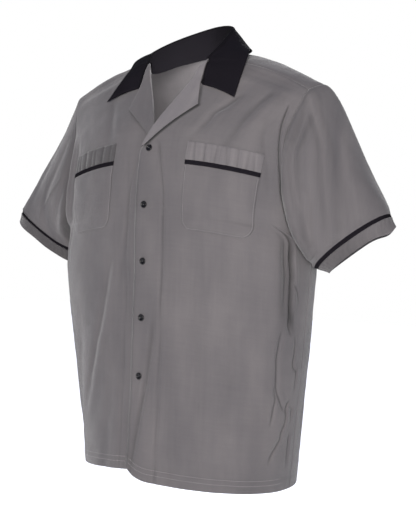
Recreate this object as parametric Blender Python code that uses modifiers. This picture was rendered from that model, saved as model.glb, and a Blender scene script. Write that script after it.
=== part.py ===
"""A man's short-sleeved bowling shirt, filled out with nobody in it.

Every cut and sewn piece is one named object: back, two fronts, two lapels (the
facings that show where the fronts fold open), one-piece camp collar, two
sleeves with piping and a turned band, two patch pockets with piping and a band,
and five buttons.

Lengths in this file are in millimetres and are scaled to metres when a mesh is
made. +Z is up, the front faces -Y, and the wearer's left side is at +X. The
origin is the middle of the neck opening, level with the neck seam.
"""

import math

import bmesh
import bpy
import numpy as np

MM = 0.001

# Cloth and seams
WALL = 1.2
COLLAR_WALL = 1.8
SLEEVE_PIPING_WALL = 1.8
SLEEVE_BAND_WALL = 1.5
POCKET_PIPING_WALL = 1.6
POCKET_PIPING_LIFT = 0.3
SEAM_GAP = 0.3
LAYER_GAP = 0.6
FRONT_EDGE_GAP = 0.9
SIDE_SEAM_GAP = 0.5
BODY_RADIUS = 150.0
FOLD_RADIUS = 1.7
COLLAR_FOLD_RADIUS = 3.0
COLLAR_ROUNDING_END = 2.4
COLLAR_FULLNESS = 2.5
GORGE_GAP = 1.3

# Front opening
OVERLAP = 19.0
UNDERLAP_DEPTH = 2.8
UNDERLAP_FADE = 48.0
LAPEL_STACK = 3.4
LAPEL_STACK_LEVEL = -135.0
LAPEL_STACK_REACH = 62.0
BUTTON_PITCH = 93.5
FIRST_BUTTON_LEVEL = -161.0
BUTTON_COUNT = 5
BUTTON_RADIUS = 5.8

# Neck and lapels, as heights at the centre and distances from the centre
GORGE_LEVEL = -11.0
GORGE_X = 62.0
ROLL_SLOPE = 0.524
BREAK_LEVEL = -157.0
LAPEL_CORNER = {"left": (-87.0, 73.0), "right": (-92.0, 68.0)}
LAPEL_NOTCH = (-51.0, 63.0)
LAPEL_NOTCH_AT = 0.52
LAPEL_LIFT = 3.0
LAPEL_END = 0.992

# Chest pockets
POCKET_TOP = -147.5
POCKET_PIPING_TOP = -178.2
POCKET_PIPING = 6.0
POCKET_BOTTOM = -291.0
POCKET_INNER = {"left": 72.0, "right": 77.0}
POCKET_OUTER_TOP = {"left": 194.0, "right": 190.0}
POCKET_OUTER_BOTTOM = {"left": 185.0, "right": 183.0}
POCKET_CORNER = 20.0

# Sleeve ends
PIPING_WIDTH = 6.0
CUFF_GAP = 0.7

# Hem heights: how far each side hangs from the mean hem line, at centre and side seam
HEM_LEVEL = -700.0
HEM_FADE_LEVEL = -430.0
HEM_SHIFT = {"left": (-9.5, -20.0), "right": (6.0, -6.0)}
BACK_HEM_SHIFT = -8.0
HEM_CORNER_WIDTH = 44.0
HEM_CORNER_RISE = 24.0
HEM_CORNER_FADE = 90.0

SIDE = {"left": 1.0, "right": -1.0}


class Table:
    """Named columns of numbers, read smoothly at any value of the first column."""

    def __init__(self, names, *rows):
        self.names = names.split()
        self.data = np.array(rows, dtype=float)
        self.key = self.data[:, 0]

    def at(self, name, key):
        """Cubic Hermite reading with slopes taken from the neighbouring rows."""
        values = self.data[:, self.names.index(name)]
        slope = np.gradient(values, self.key)
        key = np.clip(np.asarray(key, dtype=float), self.key[0], self.key[-1])
        i = np.clip(np.searchsorted(self.key, key) - 1, 0, len(self.key) - 2)
        span = self.key[i + 1] - self.key[i]
        t = (key - self.key[i]) / span
        rise = values[i] * (2 * t**3 - 3 * t**2 + 1) + values[i + 1] * (3 * t**2 - 2 * t**3)
        lean = slope[i] * (t**3 - 2 * t**2 + t) + slope[i + 1] * (t**3 - t**2)
        return rise + lean * span

    def point(self, key):
        """The columns x, y and z together."""
        return np.stack([self.at(name, key) for name in "xyz"], axis=-1)


# Sections of the front, from the hem to the forward shoulder seam. level is the
# height at the centre, square the squareness of the section and droop the power
# by which the row falls towards its outer end.
FRONT_ROWS = Table(
    "level z y square droop",
    (-740, -740, -165.0, 2.05, 2.0),
    (-600, -600, -152.5, 2.05, 2.0),
    (-494, -494, -145.0, 2.05, 2.0),
    (-382, -382, -138.0, 2.05, 2.0),
    (-272, -272, -134.5, 2.05, 2.0),
    (-205, -205, -127.0, 2.00, 2.0),
    (-160, -160, -117.5, 2.00, 2.0),
    (-125, -125, -107.0, 2.00, 2.0),
    (-80, -80, -78.5, 2.00, 2.0),
    (-45, -45, -56.5, 2.00, 1.9),
    (-11, 0, -34.5, 2.00, 1.3),
    (-2, -2.5, -26.5, 2.00, 1.7),
    (8, -8, -18.5, 2.00, 2.6),
)

# Sections of the back, from the hem over the shoulder to the same seam
BACK_ROWS = Table(
    "level z y square droop",
    (-740, -740, 139.0, 2.05, 2.0),
    (-600, -600, 131.0, 2.05, 2.0),
    (-494, -494, 125.0, 2.05, 2.0),
    (-382, -382, 119.0, 2.05, 2.0),
    (-283, -283, 119.0, 2.05, 2.0),
    (-200, -200, 120.0, 2.20, 2.0),
    (-120, -120, 116.0, 2.20, 2.0),
    (-60, -60, 104.0, 2.20, 2.0),
    (-20, -20, 88.0, 2.20, 2.0),
    (7, 7, 74.0, 2.20, 2.0),
    (28, 12, 50.0, 2.20, 1.9),
    (44, 14, 30.0, 2.20, 1.8),
    (58, 11, 12.0, 2.20, 1.8),
    (72, 3, -3.0, 2.20, 2.1),
    (86, -8, -18.5, 2.00, 2.6),
)

# Outer ends of the rows: down the side seam, and round the armhole. sweep is how
# far round the rounded section the row has come at its end, in degrees.
SIDE_SEAM = Table(
    "z x y",
    (-760, 193, 4),
    (-620, 213, -3),
    (-520, 229, -10),
    (-415, 243, -17),
    (-350, 248, -13),
    (-308, 246, -5),
)
FRONT_ARMHOLE = Table(
    "level x y z sweep",
    (-272, 246, -5, -308, 90),
    (-263, 241, -33, -300, 78.5),
    (-247, 234, -53, -284, 72),
    (-214, 225, -64, -249, 65.5),
    (-165, 220, -62, -199, 60.5),
    (-117, 221, -52, -151, 59),
    (-80, 228, -39, -115, 57),
    (-45, 236, -27, -89, 51),
    (-11, 240, -20, -76, 41),
    (8, 243, -15, -69, 30),
)
BACK_ARMHOLE = Table(
    "level x y z sweep",
    (-283, 246, -5, -308, 90),
    (-276, 244, 24, -302, 78.5),
    (-260, 240, 45, -287, 72),
    (-223, 236, 61, -249, 67),
    (-170, 234, 63, -196, 64),
    (-115, 238, 55, -142, 61.5),
    (-60, 246, 42, -98, 59),
    (-20, 250, 33, -79, 57),
    (7, 253, 27, -70, 53),
    (28, 255, 21, -64, 47.5),
    (44, 256, 15, -61, 41),
    (58, 256, 9, -60, 35.5),
    (72, 250, -3, -63, 31.5),
    (86, 243, -15, -69, 30),
)
SIDE_DROP = {"front": 36.0, "back": 25.0}
HEM_DROP = 10.0

# Neck edge of the fronts and of the back, as distance from the centre
FRONT_NECK = Table("level x", (-11, 62), (-4, 69), (2, 74), (8, 78))
BACK_NECK = Table(
    "level x",
    (7, 0),
    (9, 22),
    (13, 38),
    (20, 53),
    (30, 65),
    (44, 75),
    (58, 80),
    (72, 80),
    (86, 78),
)

# Creases large enough to shape the wall. bearing is the angle round the section
# from the centre to the side in degrees, and depth is negative for a trough.
CREASES = Table(
    "number side bearing_top bearing_low level_top level_low width depth",
    (0, 1, 66, 57, -250, -470, 6.0, -9.0),
    (1, 1, 78, 70, -270, -520, 6.0, 4.0),
    (2, -1, 67, 60, -250, -430, 6.0, -7.0),
    (3, 1, 14, 12, -200, -520, 3.5, -2.4),
    (4, -1, 40, 30, -330, -640, 7.0, -3.0),
    (5, 1, 50, 46, -470, -690, 6.0, -3.0),
    (6, -1, 62, 58, -480, -690, 7.0, 3.0),
)
BACK_CREASES = Table(
    "number side bearing_top bearing_low level_top level_low width depth",
    (0, 1, 64, 58, -230, -520, 6.0, -7.0),
    (1, -1, 66, 60, -240, -480, 6.0, -6.0),
    (2, 1, 28, 20, -260, -690, 7.0, -4.0),
    (3, -1, 24, 30, -300, -690, 7.0, -3.5),
    (4, 1, 44, 42, -420, -690, 6.0, 3.5),
    (5, -1, 46, 44, -400, -690, 6.0, 3.0),
)
CREASE_FADE = 45.0

# The collar's fold, its fall's outer edge and the foot of its stand, from the
# left gorge round the back of the neck to the right gorge
COLLAR_FOLD = Table(
    "station x y z",
    (0, 62.5, -37, -7.5),
    (1, 71, -7, 18),
    (2, 60, 43, 50),
    (3, 2, 75, 58),
    (4, -59, 47, 38),
    (5, -80, -5, 11),
    (6, -62.5, -37, -7.8),
)
COLLAR_FOOT = Table(
    "station x y z",
    (0, 60.5, -30.5, -8.5),
    (1, 75, -5, -15),
    (2, 56, 48, -4),
    (3, 0, 69.5, 3),
    (4, -56, 48, -9),
    (5, -75, -5, -26),
    (6, -60.5, -30.5, -8.8),
)
COLLAR_EDGE = Table(
    "station x y z",
    (-1, 134, -68, -79),
    (0, 129, -24, -18),
    (1, 115, 12, 5),
    (2, 80, 64, 6),
    (3, 0, 91, -8),
    (4, -82, 64, 6),
    (5, -114, 6, 3),
    (6, -111, -32, -23.5),
    (7, -131, -67, -76),
)

# Sleeve rings, x counted away from the centre: the middle, the arms to the outer
# edge, to the front and to the back. cap rounds the top of the sleeve outwards
# near its seam, sag lets it fall in half way down, and under is how much of the
# fold under the arm hangs forward.
CUFF_RING = {
    "left": {
        "centre": (317.5, -3.5, -313),
        "outer": (55.5, 23.5, 43),
        "front": (8.5, -29, 12.5),
        "back": (-20.5, 39, 13.5),
    },
    "right": {
        "centre": (318, -12, -307),
        "outer": (61, -2, 39.5),
        "front": (0, -30, 6),
        "back": (-20, 36, 8),
    },
}
BAND_RING = {
    "left": {
        "centre": (336, -4.5, -325.5),
        "outer": (53, 9.5, 38),
        "front": (6.5, -24, 3),
        "back": (-29, 43.5, -1.5),
    },
    "right": {
        "centre": (323, -10, -329),
        "outer": (64, -8, 41),
        "front": (-9.5, -30, -2),
        "back": (-20, 36, -3),
    },
}
SLEEVE_FORM = {
    "left": {"cap": 10.0, "sag": 0.0, "under": 1.0},
    "right": {"cap": 0.0, "sag": 9.0, "under": 0.5},
}
SLEEVE_OUT = (0.87, 0.0, 0.49)

# How the cloth leaves the armhole and meets the cuff, at the angle from the top:
# the way it leaves, and how hard it is pulled at either end
SLEEVE_LEAVE = Table(
    "angle x y z gap pull arrive",
    (0, 0.50, 0.00, -0.86, 0.9, 120, 110),
    (60, 0.52, -0.42, -0.74, 0.9, 130, 100),
    (110, 0.42, -0.58, -0.70, 1.3, 145, 75),
    (150, 0.70, -0.58, -0.42, 4.8, 145, 50),
    (165, 0.92, -0.35, -0.15, 5.0, 100, 40),
    (180, 0.95, -0.15, -0.25, 4.0, 55, 30),
    (210, 0.80, 0.15, -0.58, 1.5, 50, 30),
    (250, 0.56, 0.36, -0.74, 1.1, 90, 60),
    (300, 0.52, 0.42, -0.74, 0.9, 120, 100),
    (360, 0.50, 0.00, -0.86, 0.9, 120, 110),
)

PANELS = {
    "front": {"rows": FRONT_ROWS, "armhole": FRONT_ARMHOLE, "facing": -1.0, "creases": CREASES},
    "back": {"rows": BACK_ROWS, "armhole": BACK_ARMHOLE, "facing": 1.0, "creases": BACK_CREASES},
}


def smooth_step(t):
    t = np.clip(t, 0.0, 1.0)
    return t * t * (3 - 2 * t)


def outer_end(panel, level):
    """Where a row ends: on the side seam below the armhole, else round it."""
    armhole = PANELS[panel]["armhole"]
    hang = np.clip((level - HEM_LEVEL) / (HEM_FADE_LEVEL - HEM_LEVEL), 0, 1)
    drop = HEM_DROP + (SIDE_DROP[panel] - HEM_DROP) * smooth_step(hang)
    z_side = level - drop
    low = np.asarray(level) < armhole.key[0]
    x = np.where(low, SIDE_SEAM.at("x", z_side), armhole.at("x", level))
    y = np.where(low, SIDE_SEAM.at("y", z_side), armhole.at("y", level))
    z = np.where(low, z_side, armhole.at("z", level))
    sweep = np.where(low, 1.0, np.sin(np.radians(armhole.at("sweep", level))))
    return x, y, z, sweep


def bearing(panel, level, x):
    """Angle round the rounded section, in degrees, at distance x from the centre."""
    x_out, _, _, sweep = outer_end(panel, level)
    square = PANELS[panel]["rows"].at("square", level)
    ratio = np.clip(sweep * np.abs(x) / x_out, 0, 1)
    return np.sign(x) * np.degrees(np.arcsin(ratio ** (square / 2)))


def from_bearing(panel, level, angle):
    """Distance from the centre at an angle round the section."""
    x_out, _, _, sweep = outer_end(panel, level)
    square = PANELS[panel]["rows"].at("square", level)
    ratio = np.abs(np.sin(np.radians(angle))) ** (2 / square)
    return np.sign(angle) * ratio * x_out / sweep


def crease_depth(creases, side, level, angle):
    total = np.zeros(np.broadcast(level, angle).shape)
    for row in creases.data:
        _, which, top, low, level_top, level_low, width, depth = row
        if which != SIDE[side]:
            continue
        t = (level_top - level) / (level_top - level_low)
        middle = top + (low - top) * np.clip(t, 0, 1)
        ends = smooth_step((level_top + CREASE_FADE - level) / CREASE_FADE)
        ends = ends * smooth_step((level - level_low + CREASE_FADE) / CREASE_FADE)
        total = total + depth * ends * np.exp(-(((angle - middle) / width) ** 2))
    return total


def settle(panel, side, level, x):
    """The level a point hangs at: each side has its own hem, with rounded corners."""
    near = smooth_step((HEM_FADE_LEVEL - level) / (HEM_FADE_LEVEL - HEM_LEVEL))
    centre_shift, side_shift = HEM_SHIFT[side]
    if panel == "back":
        centre_shift = BACK_HEM_SHIFT
    across = np.clip(np.abs(x) / outer_end(panel, level)[0], 0, 1)
    level = level + near * (centre_shift + (side_shift - centre_shift) * across)
    if panel == "front":
        inside = np.clip((x + OVERLAP) / HEM_CORNER_WIDTH, 0, 1)
        corner = HEM_CORNER_RISE * (1 - np.sqrt(1 - (1 - inside) ** 2))
        level = level + corner * smooth_step((HEM_LEVEL + HEM_CORNER_FADE - level) / HEM_CORNER_FADE)
    return level


def under_depth(side, level, x):
    """The right front lies under the left one where they cross."""
    if side == "left":
        return 0.0
    near = 1 - smooth_step((x - OVERLAP) / UNDERLAP_FADE)
    stack = LAPEL_STACK * np.exp(-(((level - LAPEL_STACK_LEVEL) / LAPEL_STACK_REACH) ** 2))
    return (UNDERLAP_DEPTH + stack) * near


def place(panel, side, level, x):
    """The point of a panel's middle surface, x counted away from the centre."""
    rows = PANELS[panel]["rows"]
    facing = PANELS[panel]["facing"]
    reach = np.abs(x) / outer_end(panel, level)[0]
    level = settle(panel, side, level, x)
    x_out, y_out, z_out, sweep = outer_end(panel, level)
    square = rows.at("square", level)
    ratio = np.clip(sweep * reach, 0, 1)
    fullness = 1 - (1 - ratio**square) ** (1 / square)
    fullest = 1 - (1 - sweep**square) ** (1 / square)
    y_centre = rows.at("y", level)
    z_centre = rows.at("z", level)
    y = y_centre + (y_out - y_centre) * fullness / fullest
    z = z_centre + (z_out - z_centre) * reach ** rows.at("droop", level)
    angle = np.arcsin(ratio ** (square / 2))
    push = crease_depth(PANELS[panel]["creases"], side, level, np.degrees(angle))
    x = np.sign(x) * (reach * x_out + push * np.sin(angle))
    y = y + push * facing * np.cos(angle)
    if panel == "front":
        y = y + under_depth(side, level, x)
    return np.stack(np.broadcast_arrays(SIDE[side] * x, y, z), axis=-1)


def unit(vectors):
    return vectors / np.linalg.norm(vectors, axis=-1, keepdims=True)


def outward(panel, side, level, x):
    """The unit normal of a panel, pointing away from the wearer."""
    step = 0.5
    along = place(panel, side, level, x + step) - place(panel, side, level, x - step)
    up = place(panel, side, level + step, x) - place(panel, side, level - step, x)
    turn = SIDE[side] * (1.0 if panel == "front" else -1.0)
    return unit(np.cross(along, up)) * turn


def on_panel(panel, side, level, x, lift=0.0):
    level, x = np.broadcast_arrays(np.asarray(level, float), np.asarray(x, float))
    lift = np.asarray(lift, float)[..., None]
    return place(panel, side, level, x) + outward(panel, side, level, x) * lift


def roll_x(level):
    """Distance of the lapel's roll line from the centre, on the wearer's own side."""
    return GORGE_X - ROLL_SLOPE * (GORGE_LEVEL - level)


def front_inner_x(level):
    """The front edge, then the roll line, then the neck seam."""
    edge = np.maximum(-OVERLAP, roll_x(level))
    return np.where(level > GORGE_LEVEL, FRONT_NECK.at("x", level), edge)


def back_inner_x(level):
    return np.where(level > BACK_NECK.key[0], BACK_NECK.at("x", level), 0.0)


def material(name, colour, roughness):
    made = bpy.data.materials.new(name)
    made.use_nodes = True
    shader = made.node_tree.nodes["Principled BSDF"]
    shader.inputs["Base Color"].default_value = (*colour, 1.0)
    shader.inputs["Roughness"].default_value = roughness
    shader.inputs["Metallic"].default_value = 0.0
    return made


def add_object(name, mesh, collection, finish):
    made = bpy.data.objects.new(name, mesh)
    collection.objects.link(made)
    mesh.materials.append(finish)
    mesh.shade_smooth()
    mesh.set_sharp_from_angle(angle=math.radians(50))
    return made


def grid_mesh(name, grids, flip=False, closed=False):
    """One open surface from grids of points in millimetres, welded where they meet."""
    built = bmesh.new()
    for grid in grids:
        count_rows, count_columns = grid.shape[:2]
        verts = [[built.verts.new(p * MM) for p in row] for row in grid]
        last = count_columns if closed else count_columns - 1
        for r in range(count_rows - 1):
            for c in range(last):
                d = (c + 1) % count_columns
                corners = [verts[r][c], verts[r][d], verts[r + 1][d], verts[r + 1][c]]
                if flip:
                    corners.reverse()
                built.faces.new(corners)
    bmesh.ops.remove_doubles(built, verts=built.verts, dist=0.02 * MM)
    mesh = bpy.data.meshes.new(name)
    built.to_mesh(mesh)
    built.free()
    return mesh


def cloth(name, grids, collection, finish, flip=False, closed=False, wall=WALL):
    """A wall of cloth round an open surface, half of it on each side."""
    mesh = grid_mesh(name, grids, flip, closed)
    made = add_object(name, mesh, collection, finish)
    solid = made.modifiers.new("Wall", "SOLIDIFY")
    solid.thickness = wall * MM
    solid.offset = 0.0
    return made


def panel_grid(panel, side, levels, columns, inner_x, inner_gap, outer_gap):
    """Rows of points from the inner to the outer edge, spread round the section."""
    rows = []
    for level in levels:
        x_out = outer_end(panel, level)[0]
        start = bearing(panel, level, inner_x(level) + inner_gap)
        end = bearing(panel, level, x_out)
        end = end - math.degrees(outer_gap / BODY_RADIUS)
        angles = start + (end - start) * columns
        rows.append(on_panel(panel, side, level, from_bearing(panel, level, angles)))
    return np.array(rows)


def spaced(*stops):
    """Levels from pairs of (level, number of steps to the next one)."""
    values = []
    for (start, steps), (end, _) in zip(stops[:-1], stops[1:]):
        values.extend(np.linspace(start, end, steps, endpoint=False))
    values.append(stops[-1][0])
    return np.array(values)


# Heights of the rows, each with the number of steps to the next one
BODY_STEPS = ((-700, 3), (-640, 5), (-500, 5))
FRONT_LEVELS = spaced(
    *BODY_STEPS, (-380, 4), (-272, 3), (-247, 2), (-214, 3), (-157, 5), (-45, 4), (-11, 3), (7.6, 0)
)
BACK_LEVELS_LOW = spaced(
    *BODY_STEPS, (-380, 4), (-283, 3), (-260, 3), (-200, 3), (-110, 3), (-20, 2), (7, 0)
)
BACK_LEVELS_HIGH = spaced((7, 3), (13, 2), (28, 2), (58, 2), (85.6, 0))
COLUMNS = np.linspace(0, 1, 16)


def build_front(side, collection, finish):
    grid = panel_grid("front", side, FRONT_LEVELS, COLUMNS, front_inner_x, FRONT_EDGE_GAP, SIDE_SEAM_GAP)
    return cloth("front_" + side, [grid], collection, finish, flip=side == "right")


def build_back(collection, finish):
    grids = []
    for side in SIDE:
        for levels in (BACK_LEVELS_LOW, BACK_LEVELS_HIGH):
            grid = panel_grid("back", side, levels, COLUMNS, back_inner_x, 0.0, SIDE_SEAM_GAP)
            grids.append(grid if side == "left" else grid[:, ::-1])
    return cloth("back", grids, collection, finish, flip=True)


def lapel_top(side, t):
    """The lapel's upper edge: down the gorge seam to the notch, then to the corner."""
    stops = (0.0, LAPEL_NOTCH_AT, 1.0)
    level = np.interp(t, stops, (GORGE_LEVEL, LAPEL_NOTCH[0], LAPEL_CORNER[side][0]))
    x = np.interp(t, stops, (GORGE_X, LAPEL_NOTCH[1], LAPEL_CORNER[side][1]))
    return level, x


def lapel_point(side, u, t):
    """Level and distance at u up the roll line and t across to the free edge."""
    level = BREAK_LEVEL + (GORGE_LEVEL - BREAK_LEVEL) * u
    x = roll_x(level)
    low = (BREAK_LEVEL + 2.0, roll_x(BREAK_LEVEL) + 5.0)
    level_out = low[0] + (LAPEL_CORNER[side][0] - low[0]) * u
    x_out = low[1] + (LAPEL_CORNER[side][1] - low[1]) * u
    level_top, x_top = lapel_top(side, t)
    level_straight = GORGE_LEVEL + (LAPEL_CORNER[side][0] - GORGE_LEVEL) * t
    x_straight = GORGE_X + (LAPEL_CORNER[side][1] - GORGE_X) * t
    level = level + (level_out - level) * t + (level_top - level_straight) * u**4
    x = x + (x_out - x) * t + (x_top - x_straight) * u**4
    return level, x


def lapel_grid(side, rows_up, columns):
    """The roll over the fold, then the cloth that lies back on the front."""
    rows = []
    for u in rows_up:
        level, x = lapel_point(side, u, 0.0)
        edge = on_panel("front", side, level, x)
        normal = outward("front", side, np.array(level), np.array(x))
        across = unit(on_panel("front", side, *lapel_point(side, u, 0.5)) - edge)
        across = unit(across - normal * np.dot(across, normal))
        row = []
        for turn in (0.12, 0.37, 0.63, 0.87):
            swing = math.pi * turn
            back = -across * math.sin(swing) * FOLD_RADIUS
            row.append(edge + back + normal * FOLD_RADIUS * (1 - math.cos(swing)))
        for t in columns:
            lift = 2 * FOLD_RADIUS + (LAPEL_LIFT - 2 * FOLD_RADIUS) * t
            row.append(on_panel("front", side, *lapel_point(side, u, t), lift))
        rows.append(np.array(row))
    return np.array(rows)


def build_lapel(side, collection, finish):
    start = 0.0 if side == "left" else 0.16
    columns = (0.06, 0.2, 0.36, LAPEL_NOTCH_AT, 0.68, 0.84, 0.985)
    grid = lapel_grid(side, np.linspace(start, LAPEL_END, 12), columns)
    return cloth("lapel_" + side, [grid], collection, finish, flip=side == "right")


def fall_row(fold, edge, rounding, steps):
    """From the fold, over its rounded outer side, to the fall's outer edge."""
    out = np.array([edge[0] - fold[0], edge[1] - fold[1], 0.0])
    reach = np.linalg.norm(out)
    out = out / reach
    up = np.array([0.0, 0.0, 1.0])
    drop = fold[2] - edge[2]
    full = unit(out * drop + up * reach) * COLLAR_FULLNESS
    row = [fold, fold + out * rounding * 0.7 - up * rounding * 0.3]
    turned = fold + out * rounding - up * rounding
    for t in steps:
        row.append(turned + (edge - turned) * t + full * 4 * t * (1 - t))
    return np.array(row)


def stand_row(fold, edge, foot, rounding, steps):
    """From the fold, over its rounded inner side, down to the stand's foot."""
    out = np.array([edge[0] - fold[0], edge[1] - fold[1], 0.0])
    out = out / np.linalg.norm(out)
    up = np.array([0.0, 0.0, 1.0])
    row = [fold, fold - out * rounding * 0.7 - up * rounding * 0.3]
    turned = fold - out * rounding - up * rounding
    for t in steps:
        row.append(turned + (foot - turned) * t)
    return np.array(row)


def collar_rounding(station):
    full = float(smooth_step(min(station, 6 - station) / 0.8))
    return max(COLLAR_ROUNDING_END, COLLAR_FOLD_RADIUS * full)


def collar_grids(stations, fall_steps, stand_steps):
    """The fall with its gorge ends, and the stand between them."""
    gorge = []
    for side, end, way in (("left", -1.0, 1.0), ("right", 7.0, -1.0)):
        part = []
        for step in (0.0, 0.35, 0.7):
            level = LAPEL_NOTCH[0] + (GORGE_LEVEL - LAPEL_NOTCH[0]) * step
            x = LAPEL_NOTCH[1] + (GORGE_X - LAPEL_NOTCH[1]) * step
            inner = on_panel("front", side, level, x + GORGE_GAP, 2 * FOLD_RADIUS)
            edge = COLLAR_EDGE.point(end + way * step)
            part.append(fall_row(inner, edge, COLLAR_ROUNDING_END, fall_steps))
        gorge.append(part)
    fall = []
    stand = []
    for station in stations:
        fold = COLLAR_FOLD.point(station)
        edge = COLLAR_EDGE.point(station)
        rounding = collar_rounding(station)
        fall.append(fall_row(fold, edge, rounding, fall_steps))
        stand.append(stand_row(fold, edge, COLLAR_FOOT.point(station), rounding, stand_steps))
    return np.array(gorge[0] + fall + gorge[1][::-1]), np.array(stand)[:, ::-1]


def build_collar(collection, finish):
    """A stand inside and a fall outside, one piece through the fold."""
    stations = np.linspace(0, 6, 27)
    grids = collar_grids(stations, (0.04, 0.28, 0.52, 0.76, 1.0), (0.08, 0.4, 0.7, 1.0))
    return cloth("collar", grids, collection, finish, flip=True, wall=COLLAR_WALL)


def armhole_ring(side, count):
    """Points round the armhole from its top, down the front and up the back."""
    front = FRONT_ARMHOLE.point(np.linspace(8, -272, 60))
    back_low = BACK_ARMHOLE.point(np.linspace(-283, 58, 60))
    back_top = BACK_ARMHOLE.point(np.linspace(58, 86, 12))
    loop = np.concatenate([back_top, front[1:], back_low[1:]])
    steps = np.linalg.norm(np.diff(loop, axis=0), axis=1)
    run = np.concatenate([[0], np.cumsum(steps)])
    armpit = run[12 + 59 - 1]
    halves = []
    half = count // 2
    for start, end in ((0.0, armpit), (armpit, run[-1])):
        want = np.linspace(start, end, half, endpoint=False)
        halves.append(np.stack([np.interp(want, run, loop[:, k]) for k in range(3)], axis=-1))
    ring = np.concatenate(halves)
    ring[:, 0] *= SIDE[side]
    return ring


def ellipse_ring(shape, side, count):
    """A ring of two half ellipses, one to the front and one to the back."""
    mirror = np.array([SIDE[side], 1.0, 1.0])
    angles = np.radians(np.arange(count) * 360.0 / count)[:, None]
    arm = {name: np.array(vector, dtype=float) for name, vector in shape.items()}
    turn = np.sin(angles)
    across = np.where(turn > 0, turn * arm["front"], -turn * arm["back"])
    ring = arm["centre"] + np.cos(angles) * arm["outer"] + across
    return ring * mirror


# The greatest value of t * (1 - t) ** 4, the shape of the sleeve cap
CAP_PEAK = 0.0819


def sleeve_rings(side, count, fractions):
    """Rings from the armhole to the cuff line, each point on its own smooth curve."""
    mirror = np.array([SIDE[side], 1.0, 1.0])
    start = armhole_ring(side, count)
    end = ellipse_ring(CUFF_RING[side], side, count)
    angles = np.arange(count) * 360.0 / count
    leave = unit(SLEEVE_LEAVE.point(angles)) * mirror
    low = np.sqrt(np.clip(-np.cos(np.radians(angles)), 0, 1))
    pull = (SLEEVE_LEAVE.at("pull", angles) * (1 - (1 - SLEEVE_FORM[side]["under"]) * low))[:, None]
    arrive = unit(ellipse_ring(BAND_RING[side], side, count) - end)
    arrive = arrive * SLEEVE_LEAVE.at("arrive", angles)[:, None]
    top = np.clip(np.cos(np.radians(angles)), 0, 1)[:, None] * np.array(SLEEVE_OUT) * mirror
    seam = unit(np.roll(start, -1, axis=0) - np.roll(start, 1, axis=0))
    away = unit(leave - seam * np.sum(leave * seam, axis=1, keepdims=True))
    start = start + away * SLEEVE_LEAVE.at("gap", angles)[:, None]
    rings = []
    for t in fractions:
        point = start * (2 * t**3 - 3 * t**2 + 1) + end * (3 * t**2 - 2 * t**3)
        point = point + leave * pull * (t**3 - 2 * t**2 + t) + arrive * (t**3 - t**2)
        cap = SLEEVE_FORM[side]["cap"] * t * (1 - t) ** 4 / CAP_PEAK
        sag = SLEEVE_FORM[side]["sag"] * 4 * t * (1 - t)
        rings.append(point + top * (cap - sag))
    return np.array(rings)


RING_COUNT = 28
SLEEVE_STEPS = np.linspace(0, 1, 11)


def build_sleeve(side, collection, cloth_finish, piping_finish):
    rings = sleeve_rings(side, RING_COUNT, SLEEVE_STEPS)
    flip = side == "left"
    cloth("sleeve_" + side, [rings], collection, cloth_finish, flip=flip, closed=True)
    cuff = ellipse_ring(CUFF_RING[side], side, RING_COUNT)
    band = ellipse_ring(BAND_RING[side], side, RING_COUNT)
    run = np.linalg.norm(band - cuff, axis=1)[:, None]
    way = (band - cuff) / run
    piping_start = cuff + way * CUFF_GAP
    piping_end = cuff + way * PIPING_WIDTH
    band_start = cuff + way * (PIPING_WIDTH + CUFF_GAP)
    piping = np.array([piping_start, piping_end])
    turned = np.array([band_start + (band - band_start) * t for t in (0, 0.5, 1)])
    ends = {"flip": flip, "closed": True}
    cloth("sleeve_piping_" + side, [piping], collection, piping_finish, wall=SLEEVE_PIPING_WALL, **ends)
    cloth("sleeve_band_" + side, [turned], collection, cloth_finish, wall=SLEEVE_BAND_WALL, **ends)


def pocket_edges(side, level):
    """Inner and outer distance from the centre, with rounded bottom corners."""
    t = (POCKET_PIPING_TOP - level) / (POCKET_PIPING_TOP - POCKET_BOTTOM)
    top, bottom = POCKET_OUTER_TOP[side], POCKET_OUTER_BOTTOM[side]
    outer = top + (bottom - top) * np.clip(t, -0.3, 1)
    inner = POCKET_INNER[side]
    above = level - POCKET_BOTTOM
    cut = 0.0
    if above < POCKET_CORNER:
        cut = POCKET_CORNER - math.sqrt(POCKET_CORNER**2 - (POCKET_CORNER - above) ** 2)
    return inner + cut, outer - cut


def pocket_grid(side, levels, lift):
    rows = []
    for level in levels:
        inner, outer = pocket_edges(side, level)
        x = inner + (outer - inner) * np.linspace(0, 1, 8)
        rows.append(on_panel("front", side, level, x, lift))
    return np.array(rows)


def build_pocket(side, collection, cloth_finish, piping_finish):
    lift = WALL + LAYER_GAP
    piping_low = POCKET_PIPING_TOP - POCKET_PIPING
    low = [POCKET_BOTTOM + rise for rise in (0, 3, 9, 20)]
    patch = spaced((low[0], 1), (low[1], 1), (low[2], 1), (low[3], 4), (piping_low - SEAM_GAP, 0))
    flip = side == "right"
    cloth("pocket_" + side, [pocket_grid(side, patch, lift)], collection, cloth_finish, flip=flip)
    piping = np.array([piping_low, POCKET_PIPING_TOP])
    trim = pocket_grid(side, piping, lift + POCKET_PIPING_LIFT)
    cloth("pocket_piping_" + side, [trim], collection, piping_finish, flip=flip, wall=POCKET_PIPING_WALL)
    band = np.linspace(POCKET_PIPING_TOP + SEAM_GAP, POCKET_TOP, 3)
    cloth("pocket_band_" + side, [pocket_grid(side, band, lift)], collection, cloth_finish, flip=flip)


BUTTON_PROFILE = Table(
    "number radius height",
    (0, 0.0, 1.9),
    (1, 3.3, 1.9),
    (2, 4.3, 2.6),
    (3, 5.2, 2.6),
    (4, 5.8, 1.9),
    (5, 5.5, 0.6),
    (6, 4.4, 0.0),
    (7, 0.0, 0.0),
)


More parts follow.
